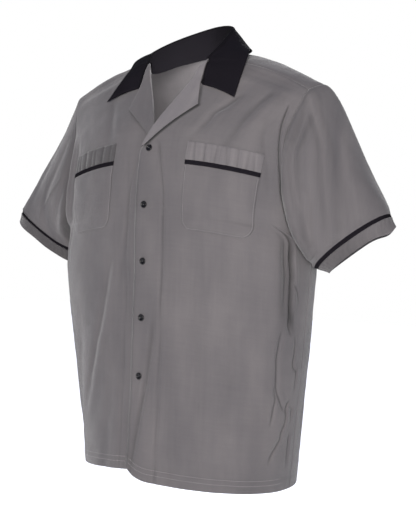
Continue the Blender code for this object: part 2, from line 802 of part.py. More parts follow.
def build_button(number, collection, finish):
    """A turned disc with a raised rim, lying on the left front."""
    level = FIRST_BUTTON_LEVEL - BUTTON_PITCH * number
    middle = place("front", "left", np.array(level), np.array(0.0))
    normal = outward("front", "left", np.array(level), np.array(0.0))
    turns = np.radians(np.arange(0, 360, 30))
    rim = place("front", "left", level + BUTTON_RADIUS * np.sin(turns), BUTTON_RADIUS * np.cos(turns))
    rise = max(0.0, float(np.max((rim - middle) @ normal)))
    seat = middle + normal * (WALL / 2 + SEAM_GAP + rise)
    built = bmesh.new()
    verts = [built.verts.new((row[1] * MM, 0, row[2] * MM)) for row in BUTTON_PROFILE.data]
    for first, second in zip(verts[:-1], verts[1:]):
        built.edges.new((first, second))
    mesh = bpy.data.meshes.new("button_%d" % (number + 1))
    built.to_mesh(mesh)
    built.free()
    made = add_object("button_%d" % (number + 1), mesh, collection, finish)
    screw = made.modifiers.new("Turn", "SCREW")
    screw.steps = 16
    screw.render_steps = 16
    screw.use_merge_vertices = True
    screw.merge_threshold = 0.00001
    made.location = seat * MM
    made.rotation_euler = (math.atan2(-normal[1], normal[2]), 0, 0)
    return made


def clear_scene():
    for thing in list(bpy.data.objects):
        bpy.data.objects.remove(thing, do_unlink=True)


def main():
    clear_scene()
    collection = bpy.data.collections.new("bowling_shirt")
    bpy.context.scene.collection.children.link(collection)
    grey = material("grey_cloth", (0.205, 0.195, 0.20), 0.85)
    black = material("black_cloth", (0.012, 0.011, 0.014), 0.8)
    plastic = material("black_button", (0.01, 0.01, 0.012), 0.3)
    build_back(collection, grey)
    for side in SIDE:
        build_front(side, collection, grey)
        build_lapel(side, collection, grey)
        build_sleeve(side, collection, grey, black)
        build_pocket(side, collection, grey, black)
    build_collar(collection, black)
    for number in range(BUTTON_COUNT):
        build_button(number, collection, plastic)


main()
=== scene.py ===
# %% [markdown]
# # A bowling shirt, dressed over its CAD model
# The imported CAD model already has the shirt's pieces, at the size estimated for it.
# This notebook works out nearly the same form again as thin, finely meshed cloth,
# presses the folds into it, sews it, and gives it a woven finish. It starts by
# loading the model.

# %% Load the frame
import math

import bmesh
import bpy
import numpy as np
from mathutils import Matrix, Vector


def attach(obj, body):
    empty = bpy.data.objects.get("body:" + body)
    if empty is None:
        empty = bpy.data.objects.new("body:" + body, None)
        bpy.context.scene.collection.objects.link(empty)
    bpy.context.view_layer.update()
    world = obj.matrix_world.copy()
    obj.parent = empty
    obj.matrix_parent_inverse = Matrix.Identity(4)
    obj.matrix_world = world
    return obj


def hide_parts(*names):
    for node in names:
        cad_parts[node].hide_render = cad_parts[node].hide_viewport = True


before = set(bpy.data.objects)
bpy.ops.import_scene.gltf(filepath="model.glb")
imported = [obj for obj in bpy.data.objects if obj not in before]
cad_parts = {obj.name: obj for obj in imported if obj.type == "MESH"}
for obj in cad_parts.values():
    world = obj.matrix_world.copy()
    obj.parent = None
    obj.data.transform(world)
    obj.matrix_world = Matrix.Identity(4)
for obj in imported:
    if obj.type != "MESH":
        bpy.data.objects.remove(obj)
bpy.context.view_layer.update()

# %% [markdown]
# ## Sizes
# A shirt is drafted from a few measures: how long it is, how deep the front neck
# opens, where the pockets sit. They are in millimetres, and become metres when a
# mesh is made. Nearly all are the CAD model's own. The piping's width, the lapels'
# lift, the collar's thickness, both ends of the sleeves and the button's profile
# differ a little from it, for looks. The origin is the middle of the neck opening.
# +Z is up, the front faces -Y, and the wearer's left side is at +X.

# %% Driving sizes, in millimetres
MM = 0.001
SIDE = {"left": 1.0, "right": -1.0}
SHELL = 0.9
OVERLAP = 19.0
UNDERLAP_DEPTH = 2.8
UNDERLAP_FADE = 48.0
LAPEL_STACK = 3.4
LAPEL_STACK_LEVEL = -135.0
LAPEL_STACK_REACH = 62.0
FOLD_RADIUS = 1.7
BUTTON_PITCH = 93.5
FIRST_BUTTON_LEVEL = -161.0
BUTTON_COUNT = 5
GORGE_LEVEL = -11.0
GORGE_X = 62.0
ROLL_SLOPE = 0.524
BREAK_LEVEL = -157.0
LAPEL_CORNER = {"left": (-87.0, 73.0), "right": (-92.0, 68.0)}
LAPEL_NOTCH = (-51.0, 63.0)
LAPEL_NOTCH_AT = 0.52
LAPEL_LIFT = 3.2
POCKET_TOP = -147.5
POCKET_PIPING_TOP = -178.2
POCKET_PIPING = 6.0
POCKET_BOTTOM = -291.0
POCKET_INNER = {"left": 72.0, "right": 77.0}
POCKET_OUTER_TOP = {"left": 194.0, "right": 190.0}
POCKET_OUTER_BOTTOM = {"left": 185.0, "right": 183.0}
POCKET_CORNER = 20.0
PIPING_WIDTH = 7.0
HEM_LEVEL = -700.0
HEM_FADE_LEVEL = -430.0
HEM_SHIFT = {"left": (-9.5, -20.0), "right": (6.0, -6.0)}
BACK_HEM_SHIFT = -8.0
HEM_CORNER_WIDTH = 44.0
HEM_CORNER_RISE = 24.0
HEM_CORNER_FADE = 90.0
HEM_DEPTH = 21.0
SIDE_DROP = {"front": 36.0, "back": 25.0}
HEM_DROP = 10.0

# %% [markdown]
# ## Sections
# Tailors think of a body in sections, and so does this model: each row of a table
# is one section across the shirt, and a smooth curve joins the rows. The tables
# for the body, the armholes and the side seam are short, and every fine row of
# the cloth is read from between their rows.


# %% A table of named columns that can be read between its rows
class Table:
    """Named columns of numbers, read smoothly at any value of the first column."""

    def __init__(self, names, *rows):
        self.names = names.split()
        self.data = np.array(rows, dtype=float)
        self.key = self.data[:, 0]

    def at(self, name, key):
        values = self.data[:, self.names.index(name)]
        slope = np.gradient(values, self.key)
        key = np.clip(np.asarray(key, dtype=float), self.key[0], self.key[-1])
        i = np.clip(np.searchsorted(self.key, key) - 1, 0, len(self.key) - 2)
        span = self.key[i + 1] - self.key[i]
        t = (key - self.key[i]) / span
        rise = values[i] * (2 * t**3 - 3 * t**2 + 1) + values[i + 1] * (3 * t**2 - 2 * t**3)
        lean = slope[i] * (t**3 - 2 * t**2 + t) + slope[i + 1] * (t**3 - t**2)
        return rise + lean * span

    def point(self, key):
        return np.stack([self.at(name, key) for name in "xyz"], axis=-1)


# %% Sections of the front and of the back
FRONT_ROWS = Table(
    "level z y square droop",
    (-740, -740, -165.0, 2.05, 2.0),
    (-600, -600, -152.5, 2.05, 2.0),
    (-494, -494, -145.0, 2.05, 2.0),
    (-382, -382, -138.0, 2.05, 2.0),
    (-272, -272, -134.5, 2.05, 2.0),
    (-205, -205, -127.0, 2.00, 2.0),
    (-160, -160, -117.5, 2.00, 2.0),
    (-125, -125, -107.0, 2.00, 2.0),
    (-80, -80, -78.5, 2.00, 2.0),
    (-45, -45, -56.5, 2.00, 1.9),
    (-11, 0, -34.5, 2.00, 1.3),
    (-2, -2.5, -26.5, 2.00, 1.7),
    (8, -8, -18.5, 2.00, 2.6),
)
BACK_ROWS = Table(
    "level z y square droop",
    (-740, -740, 139.0, 2.05, 2.0),
    (-600, -600, 131.0, 2.05, 2.0),
    (-494, -494, 125.0, 2.05, 2.0),
    (-382, -382, 119.0, 2.05, 2.0),
    (-283, -283, 119.0, 2.05, 2.0),
    (-200, -200, 120.0, 2.20, 2.0),
    (-120, -120, 116.0, 2.20, 2.0),
    (-60, -60, 104.0, 2.20, 2.0),
    (-20, -20, 88.0, 2.20, 2.0),
    (7, 7, 74.0, 2.20, 2.0),
    (28, 12, 50.0, 2.20, 1.9),
    (44, 14, 30.0, 2.20, 1.8),
    (58, 11, 12.0, 2.20, 1.8),
    (72, 3, -3.0, 2.20, 2.1),
    (86, -8, -18.5, 2.00, 2.6),
)

# %% Where the sections end: side seam, armholes and neck
SIDE_SEAM = Table(
    "z x y",
    (-760, 193, 4),
    (-620, 213, -3),
    (-520, 229, -10),
    (-415, 243, -17),
    (-350, 248, -13),
    (-308, 246, -5),
)
FRONT_ARMHOLE = Table(
    "level x y z sweep",
    (-272, 246, -5, -308, 90),
    (-263, 241, -33, -300, 78.5),
    (-247, 234, -53, -284, 72),
    (-214, 225, -64, -249, 65.5),
    (-165, 220, -62, -199, 60.5),
    (-117, 221, -52, -151, 59),
    (-80, 228, -39, -115, 57),
    (-45, 236, -27, -89, 51),
    (-11, 240, -20, -76, 41),
    (8, 243, -15, -69, 30),
)
BACK_ARMHOLE = Table(
    "level x y z sweep",
    (-283, 246, -5, -308, 90),
    (-276, 244, 24, -302, 78.5),
    (-260, 240, 45, -287, 72),
    (-223, 236, 61, -249, 67),
    (-170, 234, 63, -196, 64),
    (-115, 238, 55, -142, 61.5),
    (-60, 246, 42, -98, 59),
    (-20, 250, 33, -79, 57),
    (7, 253, 27, -70, 53),
    (28, 255, 21, -64, 47.5),
    (44, 256, 15, -61, 41),
    (58, 256, 9, -60, 35.5),
    (72, 250, -3, -63, 31.5),
    (86, 243, -15, -69, 30),
)
FRONT_NECK = Table("level x", (-11, 62), (-4, 69), (2, 74), (8, 78))
BACK_NECK = Table(
    "level x",
    (7, 0),
    (9, 22),
    (13, 38),
    (20, 53),
    (30, 65),
    (44, 75),
    (58, 80),
    (72, 80),
    (86, 78),
)
PANELS = {
    "front": {"rows": FRONT_ROWS, "armhole": FRONT_ARMHOLE},
    "back": {"rows": BACK_ROWS, "armhole": BACK_ARMHOLE},
}

# %% [markdown]
# ## From a level and a distance to a point on the body
# A point of a panel is named by its level, the height of its row at the centre,
# and its distance from the centre. The row is a rounded section that swings back
# towards the side seam or the armhole, and droops as it goes. The left front lies
# over the right one, so the right one steps back where they cross.


# %% The body's surface
def smooth_step(t):
    t = np.clip(t, 0.0, 1.0)
    return t * t * (3 - 2 * t)


def bell(distance, width, power=2):
    """One on a line, falling smoothly to nothing beside it."""
    return np.exp(-((distance / width) ** power))


def outer_end(panel, level):
    """Where a row ends: on the side seam below the armhole, else round it."""
    armhole = PANELS[panel]["armhole"]
    hang = np.clip((level - HEM_LEVEL) / (HEM_FADE_LEVEL - HEM_LEVEL), 0, 1)
    drop = HEM_DROP + (SIDE_DROP[panel] - HEM_DROP) * smooth_step(hang)
    z_side = level - drop
    low = np.asarray(level) < armhole.key[0]
    x = np.where(low, SIDE_SEAM.at("x", z_side), armhole.at("x", level))
    y = np.where(low, SIDE_SEAM.at("y", z_side), armhole.at("y", level))
    z = np.where(low, z_side, armhole.at("z", level))
    sweep = np.where(low, 1.0, np.sin(np.radians(armhole.at("sweep", level))))
    return x, y, z, sweep


def bearing(panel, level, x):
    """Angle round the rounded section, in degrees, at distance x from the centre."""
    x_out, _, _, sweep = outer_end(panel, level)
    square = PANELS[panel]["rows"].at("square", level)
    ratio = np.clip(sweep * np.abs(x) / x_out, 0, 1)
    return np.sign(x) * np.degrees(np.arcsin(ratio ** (square / 2)))


def from_bearing(panel, level, angle):
    """Distance from the centre at an angle round the section."""
    x_out, _, _, sweep = outer_end(panel, level)
    square = PANELS[panel]["rows"].at("square", level)
    ratio = np.abs(np.sin(np.radians(angle))) ** (2 / square)
    return np.sign(angle) * ratio * x_out / sweep


def settle(panel, side, level, x):
    """The level a point hangs at: each side has its own hem, with rounded corners."""
    near = smooth_step((HEM_FADE_LEVEL - level) / (HEM_FADE_LEVEL - HEM_LEVEL))
    centre_shift, side_shift = HEM_SHIFT[side]
    if panel == "back":
        centre_shift = BACK_HEM_SHIFT
    across = np.clip(np.abs(x) / outer_end(panel, level)[0], 0, 1)
    level = level + near * (centre_shift + (side_shift - centre_shift) * across)
    if panel == "front":
        inside = np.clip((x + OVERLAP) / HEM_CORNER_WIDTH, 0, 1)
        corner = HEM_CORNER_RISE * (1 - np.sqrt(1 - (1 - inside) ** 2))
        level = level + corner * smooth_step((HEM_LEVEL + HEM_CORNER_FADE - level) / HEM_CORNER_FADE)
    return level


def under_depth(side, level, x):
    """How far the right front steps back under the left one."""
    if side == "left":
        return 0.0
    near = 1 - smooth_step((x - OVERLAP) / UNDERLAP_FADE)
    stack = LAPEL_STACK * bell(level - LAPEL_STACK_LEVEL, LAPEL_STACK_REACH)
    return (UNDERLAP_DEPTH + stack) * near


def place(panel, side, level, x):
    """The point of a panel before it is creased."""
    rows = PANELS[panel]["rows"]
    reach = np.abs(x) / outer_end(panel, level)[0]
    level = settle(panel, side, level, x)
    x_out, y_out, z_out, sweep = outer_end(panel, level)
    square = rows.at("square", level)
    ratio = np.clip(sweep * reach, 0, 1)
    fullness = 1 - (1 - ratio**square) ** (1 / square)
    fullest = 1 - (1 - sweep**square) ** (1 / square)
    y_centre = rows.at("y", level)
    z_centre = rows.at("z", level)
    y = y_centre + (y_out - y_centre) * fullness / fullest
    z = z_centre + (z_out - z_centre) * reach ** rows.at("droop", level)
    x = np.sign(x) * reach * x_out
    if panel == "front":
        y = y + under_depth(side, level, x)
    return np.stack(np.broadcast_arrays(SIDE[side] * x, y, z), axis=-1)


def unit(vectors):
    return vectors / np.linalg.norm(vectors, axis=-1, keepdims=True)


def joined(*spans):
    """Even steps over spans that meet end to end, each given as (start, end, count)."""
    parts = [np.linspace(*span) for span in spans]
    return np.concatenate([part[:-1] for part in parts[:-1]] + parts[-1:])


def outward(panel, side, level, x, point_at=place, step=0.5):
    """The unit normal of a panel or of its cloth, pointing away from the wearer."""
    along = point_at(panel, side, level, x + step) - point_at(panel, side, level, x - step)
    up = point_at(panel, side, level + step, x) - point_at(panel, side, level - step, x)
    turn = SIDE[side] * (1.0 if panel == "front" else -1.0)
    return unit(np.cross(along, up)) * turn


print("front centre at the hem:", place("front", "left", np.array(-700.0), np.array(0.0)).round(1))

# %% [markdown]
# ## Folds
# Cloth folds where it is pushed together: at the armhole, under the arm, over the
# hips. Simulation could find folds of its own, but these have to be the ones that
# this shirt shows, so each is a short path over the panel, listed with a width
# and a depth at each point. A fold dents the cloth along its path. lean makes one
# flank steeper, and lip raises the cloth beside it, as a real fold does.


# %% How a fold is written down and how it dents the cloth
FOLD_STEPS = 8
FOLD_REACH = 5
LIP_AT = 2.0
LIP_WIDTH = 1.3
WAVE_COUNT = 8
# Seed, size and height of the waves that leave no cloth quite flat
CLOTH_WAVES = ((11, 105.0, 0.7), (12, 38.0, 0.24), (13, 16.0, 0.05))


def fold(*rows, lean=0.0, lip=0.0):
    """Rows are (level, x, width, depth) on a panel or (angle, t, width, depth) on a sleeve."""
    numbered = [(i, *row) for i, row in enumerate(rows)]
    return {"path": Table("step a b width depth", *numbered), "lean": lean, "lip": lip}


def dent(points, normals, surface, folds):
    """How far the folds move each point along its normal, in millimetres."""
    flat = points.reshape(-1, 3)
    up = normals.reshape(-1, 3)
    total = np.zeros(len(flat))
    for one in folds:
        path = one["path"]
        steps = np.linspace(path.key[0], path.key[-1], FOLD_STEPS * (len(path.key) - 1) + 1)
        line = surface(path.at("a", steps), path.at("b", steps))
        width = path.at("width", steps)
        depth = path.at("depth", steps)
        reach = FOLD_REACH * width.max()
        close = np.all((flat > line.min(0) - reach) & (flat < line.max(0) + reach), axis=1)
        part, part_up = flat[close], up[close]
        best = np.full(len(part), 1e9)
        where = np.zeros(len(part))
        sign = np.zeros(len(part))
        for k in range(len(line) - 1):
            run = line[k + 1] - line[k]
            t = np.clip((part - line[k]) @ run / max(run @ run, 1e-9), 0, 1)
            away = part - (line[k] + t[:, None] * run)
            gap = np.linalg.norm(away, axis=1)
            near = gap < best
            best = np.where(near, gap, best)
            where = np.where(near, k + t, where)
            turned = np.sum(np.cross(run, away) * part_up, axis=1)
            sign = np.where(near, np.sign(turned), sign)
        wide = np.interp(where, np.arange(len(line)), width) * (1 + one["lean"] * sign)
        deep = np.interp(where, np.arange(len(line)), depth)
        moved = deep * bell(best, wide)
        from_lip = best * sign - LIP_AT * wide
        total[close] += moved - one["lip"] * deep * bell(from_lip, LIP_WIDTH * wide)
    return total.reshape(points.shape[:-1])


def waves(points, seed, size, height):
    """Soft waves that never repeat: eight sines that run different ways."""
    chance = np.random.default_rng(seed)
    total = np.zeros(points.shape[:-1])
    for _ in range(WAVE_COUNT):
        way = unit(chance.normal(size=3))
        length = size * chance.uniform(0.7, 1.5)
        total += np.sin(points @ way * 2 * math.pi / length + chance.uniform(0, 6.28))
    return height * total / math.sqrt(WAVE_COUNT)


def loosened(points):
    """The gentle unevenness of cloth that has been worn and pressed."""
    return sum(waves(points, *wave) for wave in CLOTH_WAVES)


# %% [markdown]
# The front's main fold drops from the shoulder past the armhole and deepens under
# the arm. Soft diagonal drags run from the collar's point, and the lower side is
# crumpled where the hips would carry it. Down the front, the facing's edge shows
# as a faint line beside the buttons.

# %% Folds of the two fronts
FRONT_FOLDS = {
    "left": [
        fold(
            (-58, 219, 2.8, 0.0), (-76, 216, 2.6, -2.5), (-100, 213, 2.2, -4.5),
            (-140, 214.5, 2.2, -5.5), (-190, 221, 2.4, -6.0), (-230, 228, 2.6, -6.5),
            (-262, 231.5, 3.0, -8.0), (-301, 233, 3.2, -9.5), (-335, 235, 3.2, -9.0),
            (-384, 232, 2.8, -6.5), (-418, 229, 2.6, -4.0), (-432, 230.5, 2.6, 0.0),
            lean=0.35, lip=0.3,
        ),
        fold(
            (-325, 235, 2.6, 0.0), (-338, 236, 2.6, -3.2), (-350, 238, 2.6, -3.2),
            (-364, 239.5, 2.6, -2.4), (-380, 239.5, 2.6, 0.0),
        ),
        fold(
            (-270, 225, 6.0, 0.0), (-300, 227, 5.5, -6.0), (-340, 229, 5.5, -7.5),
            (-370, 227.5, 5.5, -5.5), (-400, 225, 7.0, 0.0),
        ),
        fold((-244, 231, 2.0, 0.0), (-252, 234, 2.2, -2.2), (-262, 235, 2.0, 0.0)),
        fold(
            (-56, 146, 6.0, 0.0), (-68, 135, 6.0, -2.6), (-82, 122, 6.5, -3.4), (-96, 106, 6.5, -3.2),
            (-111, 98, 7.0, -2.6), (-140, 78, 9.0, -1.2), (-175, 60, 12.0, 0.0), lip=0.45,
        ),
        fold(
            (-30, 205, 9.0, 0.0), (-52, 185, 8.0, -2.6), (-80, 166, 8.0, -3.4), (-112, 150, 8.5, -3.0),
            (-142, 136, 9.0, -1.6), (-175, 122, 12.0, 0.0), lip=0.45,
        ),
        fold(
            (-86, 196, 9.0, 0.0), (-120, 190, 8.0, -2.0), (-170, 200, 8.0, -1.8), (-230, 210, 9.0, 0.0),
        ),
        fold(
            (-425, 222, 3.2, 0.0), (-440, 218.5, 3.2, -1.8), (-472, 213.5, 3.0, -2.6),
            (-494, 212, 3.0, -2.6), (-517, 210.5, 2.8, -2.6), (-536, 211, 2.6, -2.6),
            (-557.5, 213, 2.6, -1.6), (-572, 216, 3.0, 0.0), lean=0.3, lip=0.3,
        ),
        fold(
            (-512, 210, 2.4, 0.0), (-524, 208.5, 2.4, -1.6), (-540, 208.5, 2.4, -2.0),
            (-555, 206, 2.6, -2.0), (-573, 203, 3.0, -1.6), (-590, 199.5, 3.6, 0.0),
            lip=0.3,
        ),
        fold(
            (-430, 233, 2.6, 0.0), (-445, 232, 2.4, -2.0), (-460, 230, 2.4, -2.4),
            (-476, 227.5, 2.4, -2.2), (-486, 226.5, 2.2, -2.4), (-496, 228, 2.2, -2.2),
            (-510, 225.5, 2.6, -1.8), (-532, 222, 3.0, 0.0), lip=0.3,
        ),
        fold(
            (-540, 219, 2.6, 0.0), (-548, 217.5, 2.4, -2.4), (-557, 215.5, 2.4, -2.8),
            (-568, 214.5, 2.6, -2.6), (-585, 212, 2.8, -2.4), (-600, 208.5, 2.8, -2.4),
            (-614, 206, 3.0, -2.4), (-637, 198.5, 3.4, -2.0), (-655, 194, 4.0, 0.0),
            lean=-0.2, lip=0.3,
        ),
        fold(
            (-548, 217, 2.6, 0.0), (-560, 218, 2.8, -2.2), (-574, 217.5, 3.0, -1.6),
            (-586, 216, 3.0, 0.0),
        ),
        fold(
            (-598, 213, 2.6, 0.0), (-610, 211.5, 2.6, -2.0), (-620, 210, 2.8, -2.2),
            (-640, 207, 3.0, -1.8), (-668, 203.5, 3.6, 0.0), lip=0.3,
        ),
        fold(
            (-420, 24, 5.0, 0.0), (-470, 21, 4.6, -1.8), (-535, 14, 4.4, -3.0), (-590, 4, 4.4, -3.6),
            (-640, -5, 4.6, -3.2), (-700, -11, 5.0, -1.6),
        ),
        fold(
            (-330, 92, 16.0, 0.0), (-430, 98, 17.0, -2.4), (-560, 106, 18.0, -2.6),
            (-700, 112, 20.0, -1.6),
        ),
        fold(
            (-360, 160, 15.0, 0.0), (-470, 156, 16.0, -2.2), (-600, 150, 18.0, -2.8),
            (-705, 146, 20.0, -2.2),
        ),
        fold(
            (-420, 52, 11.0, 0.0), (-520, 55, 12.0, -1.4), (-640, 60, 13.0, -1.6),
            (-705, 62, 14.0, -0.8),
        ),
    ],
    "right": [
        fold(
            (-100, 213, 6.0, 0.0), (-150, 210, 6.5, 3.5), (-215, 213, 7.0, 5.0), (-262, 222, 7.0, 4.5),
            (-292, 236, 7.0, 0.0),
        ),
        fold(
            (-110, 196, 6.0, 0.0), (-150, 194, 6.0, -2.2), (-215, 197, 6.0, -2.8),
            (-280, 206, 7.0, -3.2), (-350, 208, 8.0, 0.0),
        ),
        fold(
            (-330, 70, 9.0, 0.0), (-364, 79, 8.0, -1.8), (-437, 94, 8.0, -3.0), (-500, 112, 8.0, -3.2),
            (-560, 130, 9.0, -2.6), (-630, 152, 11.0, 0.0), lip=0.5,
        ),
        fold(
            (-160, 50, 6.0, 0.0), (-190, 42, 6.0, -1.2), (-275, 35, 6.0, -2.0), (-340, 45, 7.0, -2.0),
            (-400, 50, 9.0, 0.0), lip=0.4,
        ),
        fold(
            (-420, 160, 14.0, 0.0), (-520, 165, 14.0, -3.0), (-620, 172, 15.0, -3.0),
            (-700, 176, 16.0, -2.0),
        ),
        fold((-480, 60, 12.0, 0.0), (-580, 66, 13.0, -1.8), (-700, 74, 15.0, -1.8)),
        fold(
            (-60, 130, 9.0, 0.0), (-85, 115, 9.0, -2.0), (-120, 100, 10.0, -2.2), (-150, 92, 11.0, 0.0),
            lip=0.4,
        ),
        fold(
            (-230, 226, 5.0, 0.0), (-290, 226, 6.0, -3.5), (-380, 222, 8.0, -3.0),
            (-480, 214, 9.0, 0.0),
        ),
    ],
}
FACING_LINE = Table(
    "level x",
    (-700, 37),
    (-520, 37),
    (-347, 37),
    (-286, 38),
    (-230, 35),
    (-190, 27),
    (-155, 17),
    (-140, 9),
)

# %% [markdown]
# The back never shows in the reference, so it gets what such a shirt has there:
# long soft folds down from the shoulder blades, deeper at the armholes, and some
# slack over the waist.

# %% Folds of the back
BACK_FOLDS = {
    "left": [
        fold(
            (-90, 214, 7.0, 0.0), (-150, 214, 7.0, -4.0), (-230, 217, 7.0, -6.5),
            (-320, 219, 8.0, -6.0), (-430, 212, 9.0, 0.0), lean=-0.3, lip=0.25,
        ),
        fold(
            (-180, 120, 16.0, 0.0), (-300, 108, 16.0, -3.4), (-450, 98, 17.0, -4.6),
            (-700, 90, 20.0, -3.0),
        ),
        fold(
            (-330, 172, 12.0, 0.0), (-430, 170, 12.0, -3.4), (-560, 164, 14.0, -4.0),
            (-705, 158, 15.0, -2.4),
        ),
        fold(
            (-60, 60, 14.0, 0.0), (-130, 70, 14.0, -1.8), (-240, 66, 15.0, -2.0), (-330, 52, 16.0, 0.0),
        ),
        fold(
            (-400, 30, 13.0, 0.0), (-500, 36, 13.0, -2.4), (-640, 42, 15.0, -2.6),
            (-705, 44, 16.0, -1.6),
        ),
        fold(
            (-440, 224, 6.0, 0.0), (-500, 219, 6.0, -3.0), (-580, 211, 7.0, -3.0),
            (-640, 204, 8.0, 0.0),
        ),
    ],
    "right": [
        fold(
            (-100, 216, 7.0, 0.0), (-160, 215, 7.0, -3.6), (-240, 216, 7.0, -6.0),
            (-330, 217, 8.0, -5.0), (-420, 212, 9.0, 0.0), lean=0.3, lip=0.25,
        ),
        fold(
            (-220, 96, 16.0, 0.0), (-330, 104, 16.0, -3.6), (-480, 116, 17.0, -4.4),
            (-700, 126, 20.0, -2.8),
        ),
        fold(
            (-360, 186, 12.0, 0.0), (-460, 182, 12.0, -3.0), (-590, 176, 14.0, -3.6),
            (-705, 172, 15.0, -2.0),
        ),
        fold(
            (-80, 84, 14.0, 0.0), (-150, 78, 14.0, -2.0), (-230, 62, 15.0, -1.6), (-300, 50, 16.0, 0.0),
        ),
        fold(
            (-430, 66, 13.0, 0.0), (-540, 62, 13.0, -2.2), (-660, 58, 15.0, -2.4),
            (-705, 56, 16.0, -1.4),
        ),
        fold(
            (-470, 226, 6.0, 0.0), (-530, 219, 6.0, -2.6), (-600, 211, 7.0, -2.8),
            (-650, 205, 8.0, 0.0),
        ),
    ],
}

# %% [markdown]
# ## Seams and hems
# Where two pieces are sewn, their edges turn in, and the seam reads as a groove.
# A turned hem is two layers thick up to its stitching, which pulls the cloth in
# and puckers it a little. These are moves of about a millimetre or less, worked
# out from each point's distance to the edge.


# %% Distances along the cloth and what the edges do with them
HEM_LAYER = 0.45
HEM_GROOVE = 1.6
PUCKER_REACH = 12.0
HEM_PUCKERS = ((2.3, 1.7, 31.0, 0.10), (7.1, 2.0, 53.0, 0.22))
FACING_TOP = -140
FACING_FADE = 25.0
FACING_DIP = 2.0
FACING_GROOVE = 1.9
COVERED_TO = 12.0
COVERED_FADE = 36.0
PIPING_SWELL = 0.9
PIPING_GROOVE = 0.12


def run_length(points, axis):
    """Length along the cloth from the first row or column."""
    steps = np.linalg.norm(np.diff(points, axis=axis), axis=-1)
    zero = np.zeros_like(np.take(steps, [0], axis=axis))
    return np.cumsum(np.concatenate([zero, steps], axis=axis), axis=axis)


def seam_dip(distance, depth=1.1, reach=2.6):
    return -depth * bell(distance, reach)


def hem_shape(distance, along):
    """Two layers up to the stitching, a groove under it and puckers beside it."""
    layers = HEM_LAYER * smooth_step((HEM_DEPTH + 1.0 - distance) / 2.0)
    groove = -HEM_LAYER * bell(distance - HEM_DEPTH, HEM_GROOVE)
    near = bell(distance - HEM_DEPTH, PUCKER_REACH)
    pucker = 0.0
    for fine, sway, slow, high in HEM_PUCKERS:
        pucker = pucker + np.sin(along / fine + sway * np.sin(along / slow)) * high
    return layers + groove + pucker * near


def uncovered(x):
    """Nothing where the left front lies over the right one, growing to one beside it."""
    return smooth_step((x - COVERED_TO) / COVERED_FADE)


def piping_swell(t, groove):
    """How far piping stands out across its width, with a groove along its middle."""
    swell = np.sqrt(np.clip(1 - (2 * t - 1) ** 4, 0, 1))
    return PIPING_SWELL * swell - groove * bell(t - 0.5, PIPING_GROOVE)


def cloth_move(panel, side, level, x):
    """Folds and unevenness of a panel at any points, without its edges."""
    points = place(panel, side, level, x)
    normals = outward(panel, side, level, x)
    folds = (FRONT_FOLDS if panel == "front" else BACK_FOLDS)[side]

    def surface(a, b):
        return place(panel, side, a, np.minimum(b, outer_end(panel, a)[0] - 1.0))

    move = dent(points, normals, surface, folds) + loosened(points)
    if panel == "front":
        line = np.abs(np.abs(x) - FACING_LINE.at("x", level))
        shown = smooth_step((FACING_TOP - level) / FACING_FADE) * (x > 0)
        move = move - FACING_DIP * bell(line, FACING_GROOVE) * shown
        if side == "right":
            move = move * uncovered(x)
    return points, normals, move


def on_cloth(panel, side, level, x, lift=0.0):
    """The point of the finished cloth, moved out by lift."""
    level, x = np.broadcast_arrays(np.asarray(level, float), np.asarray(x, float))
    shape = level.shape
    level, x = np.atleast_2d(level), np.atleast_2d(x)
    points, normals, move = cloth_move(panel, side, level, x)
    lift = np.broadcast_to(np.asarray(lift, float), shape).reshape(level.shape)
    return (points + normals * (move + lift)[..., None]).reshape(*shape, 3)


def cloth_normal(panel, side, level, x):
    """The unit normal of the finished cloth."""
    return outward(panel, side, level, x, on_cloth, 1.0)


# %% [markdown]
# ## Woven finishes
# Shirt cloth is mostly matt, with a soft sheen at glancing angles. Up close its
# threads show; from a step away only slubs and faint streaks along the grain do.
# The finish is procedural. To keep the shader readable, a small class lets a
# socket take part in sums, and one method makes every other kind of node. The
# left lapel's facing and the bands get lighter or darker greys, matched to the
# reference: painted light where the light falls on them, painted shade where it doesn't.


# %% Shader sums
class Signal:
    """A socket's value. Sums with it add Math nodes to its graph."""

    def __init__(self, graph, socket):
        self.graph = graph
        self.socket = socket

    def _sum(self, operation, first, second):
        return self.graph.node("ShaderNodeMath", {"operation": operation}, {0: first, 1: second})

    def __add__(self, other):
        return self._sum("ADD", self, other)

    def __radd__(self, other):
        return self._sum("ADD", other, self)

    def __sub__(self, other):
        return self._sum("SUBTRACT", self, other)

    def __mul__(self, other):
        return self._sum("MULTIPLY", self, other)

    def __rmul__(self, other):
        return self._sum("MULTIPLY", other, self)


class Graph:
    """A tree of shader nodes, with one method that makes its nodes."""

    def __init__(self, tree):
        self.tree = tree

    def feed(self, socket, value):
        if isinstance(value, Signal):
            self.tree.links.new(value.socket, socket)
        elif value is not None:
            socket.default_value = value

    def node(self, kind, settings=None, sockets=None, output=0):
        made = self.tree.nodes.new(kind)
        for name, value in (settings or {}).items():
            setattr(made, name, value)
        for key, value in (sockets or {}).items():
            self.feed(made.inputs[key], value)
        return Signal(self, made.outputs[output])

    def mix(self, factor, first, second):
        """One colour into another."""
        sockets = {0: factor, 6: first, 7: second}
        return self.node("ShaderNodeMix", {"data_type": "RGBA"}, sockets, output=2)

    def noise(self, vector, scale, detail=2.0):
        sockets = {"Vector": vector, "Scale": scale, "Detail": detail}
        return self.node("ShaderNodeTexNoise", {}, sockets)

    def stretched(self, vector, across, along, deep=1.0):
        """Coordinates scaled apart, for marks that run along the grain."""
        sockets = {0: vector, 1: (across, along, deep)}
        return self.node("ShaderNodeVectorMath", {"operation": "MULTIPLY"}, sockets)


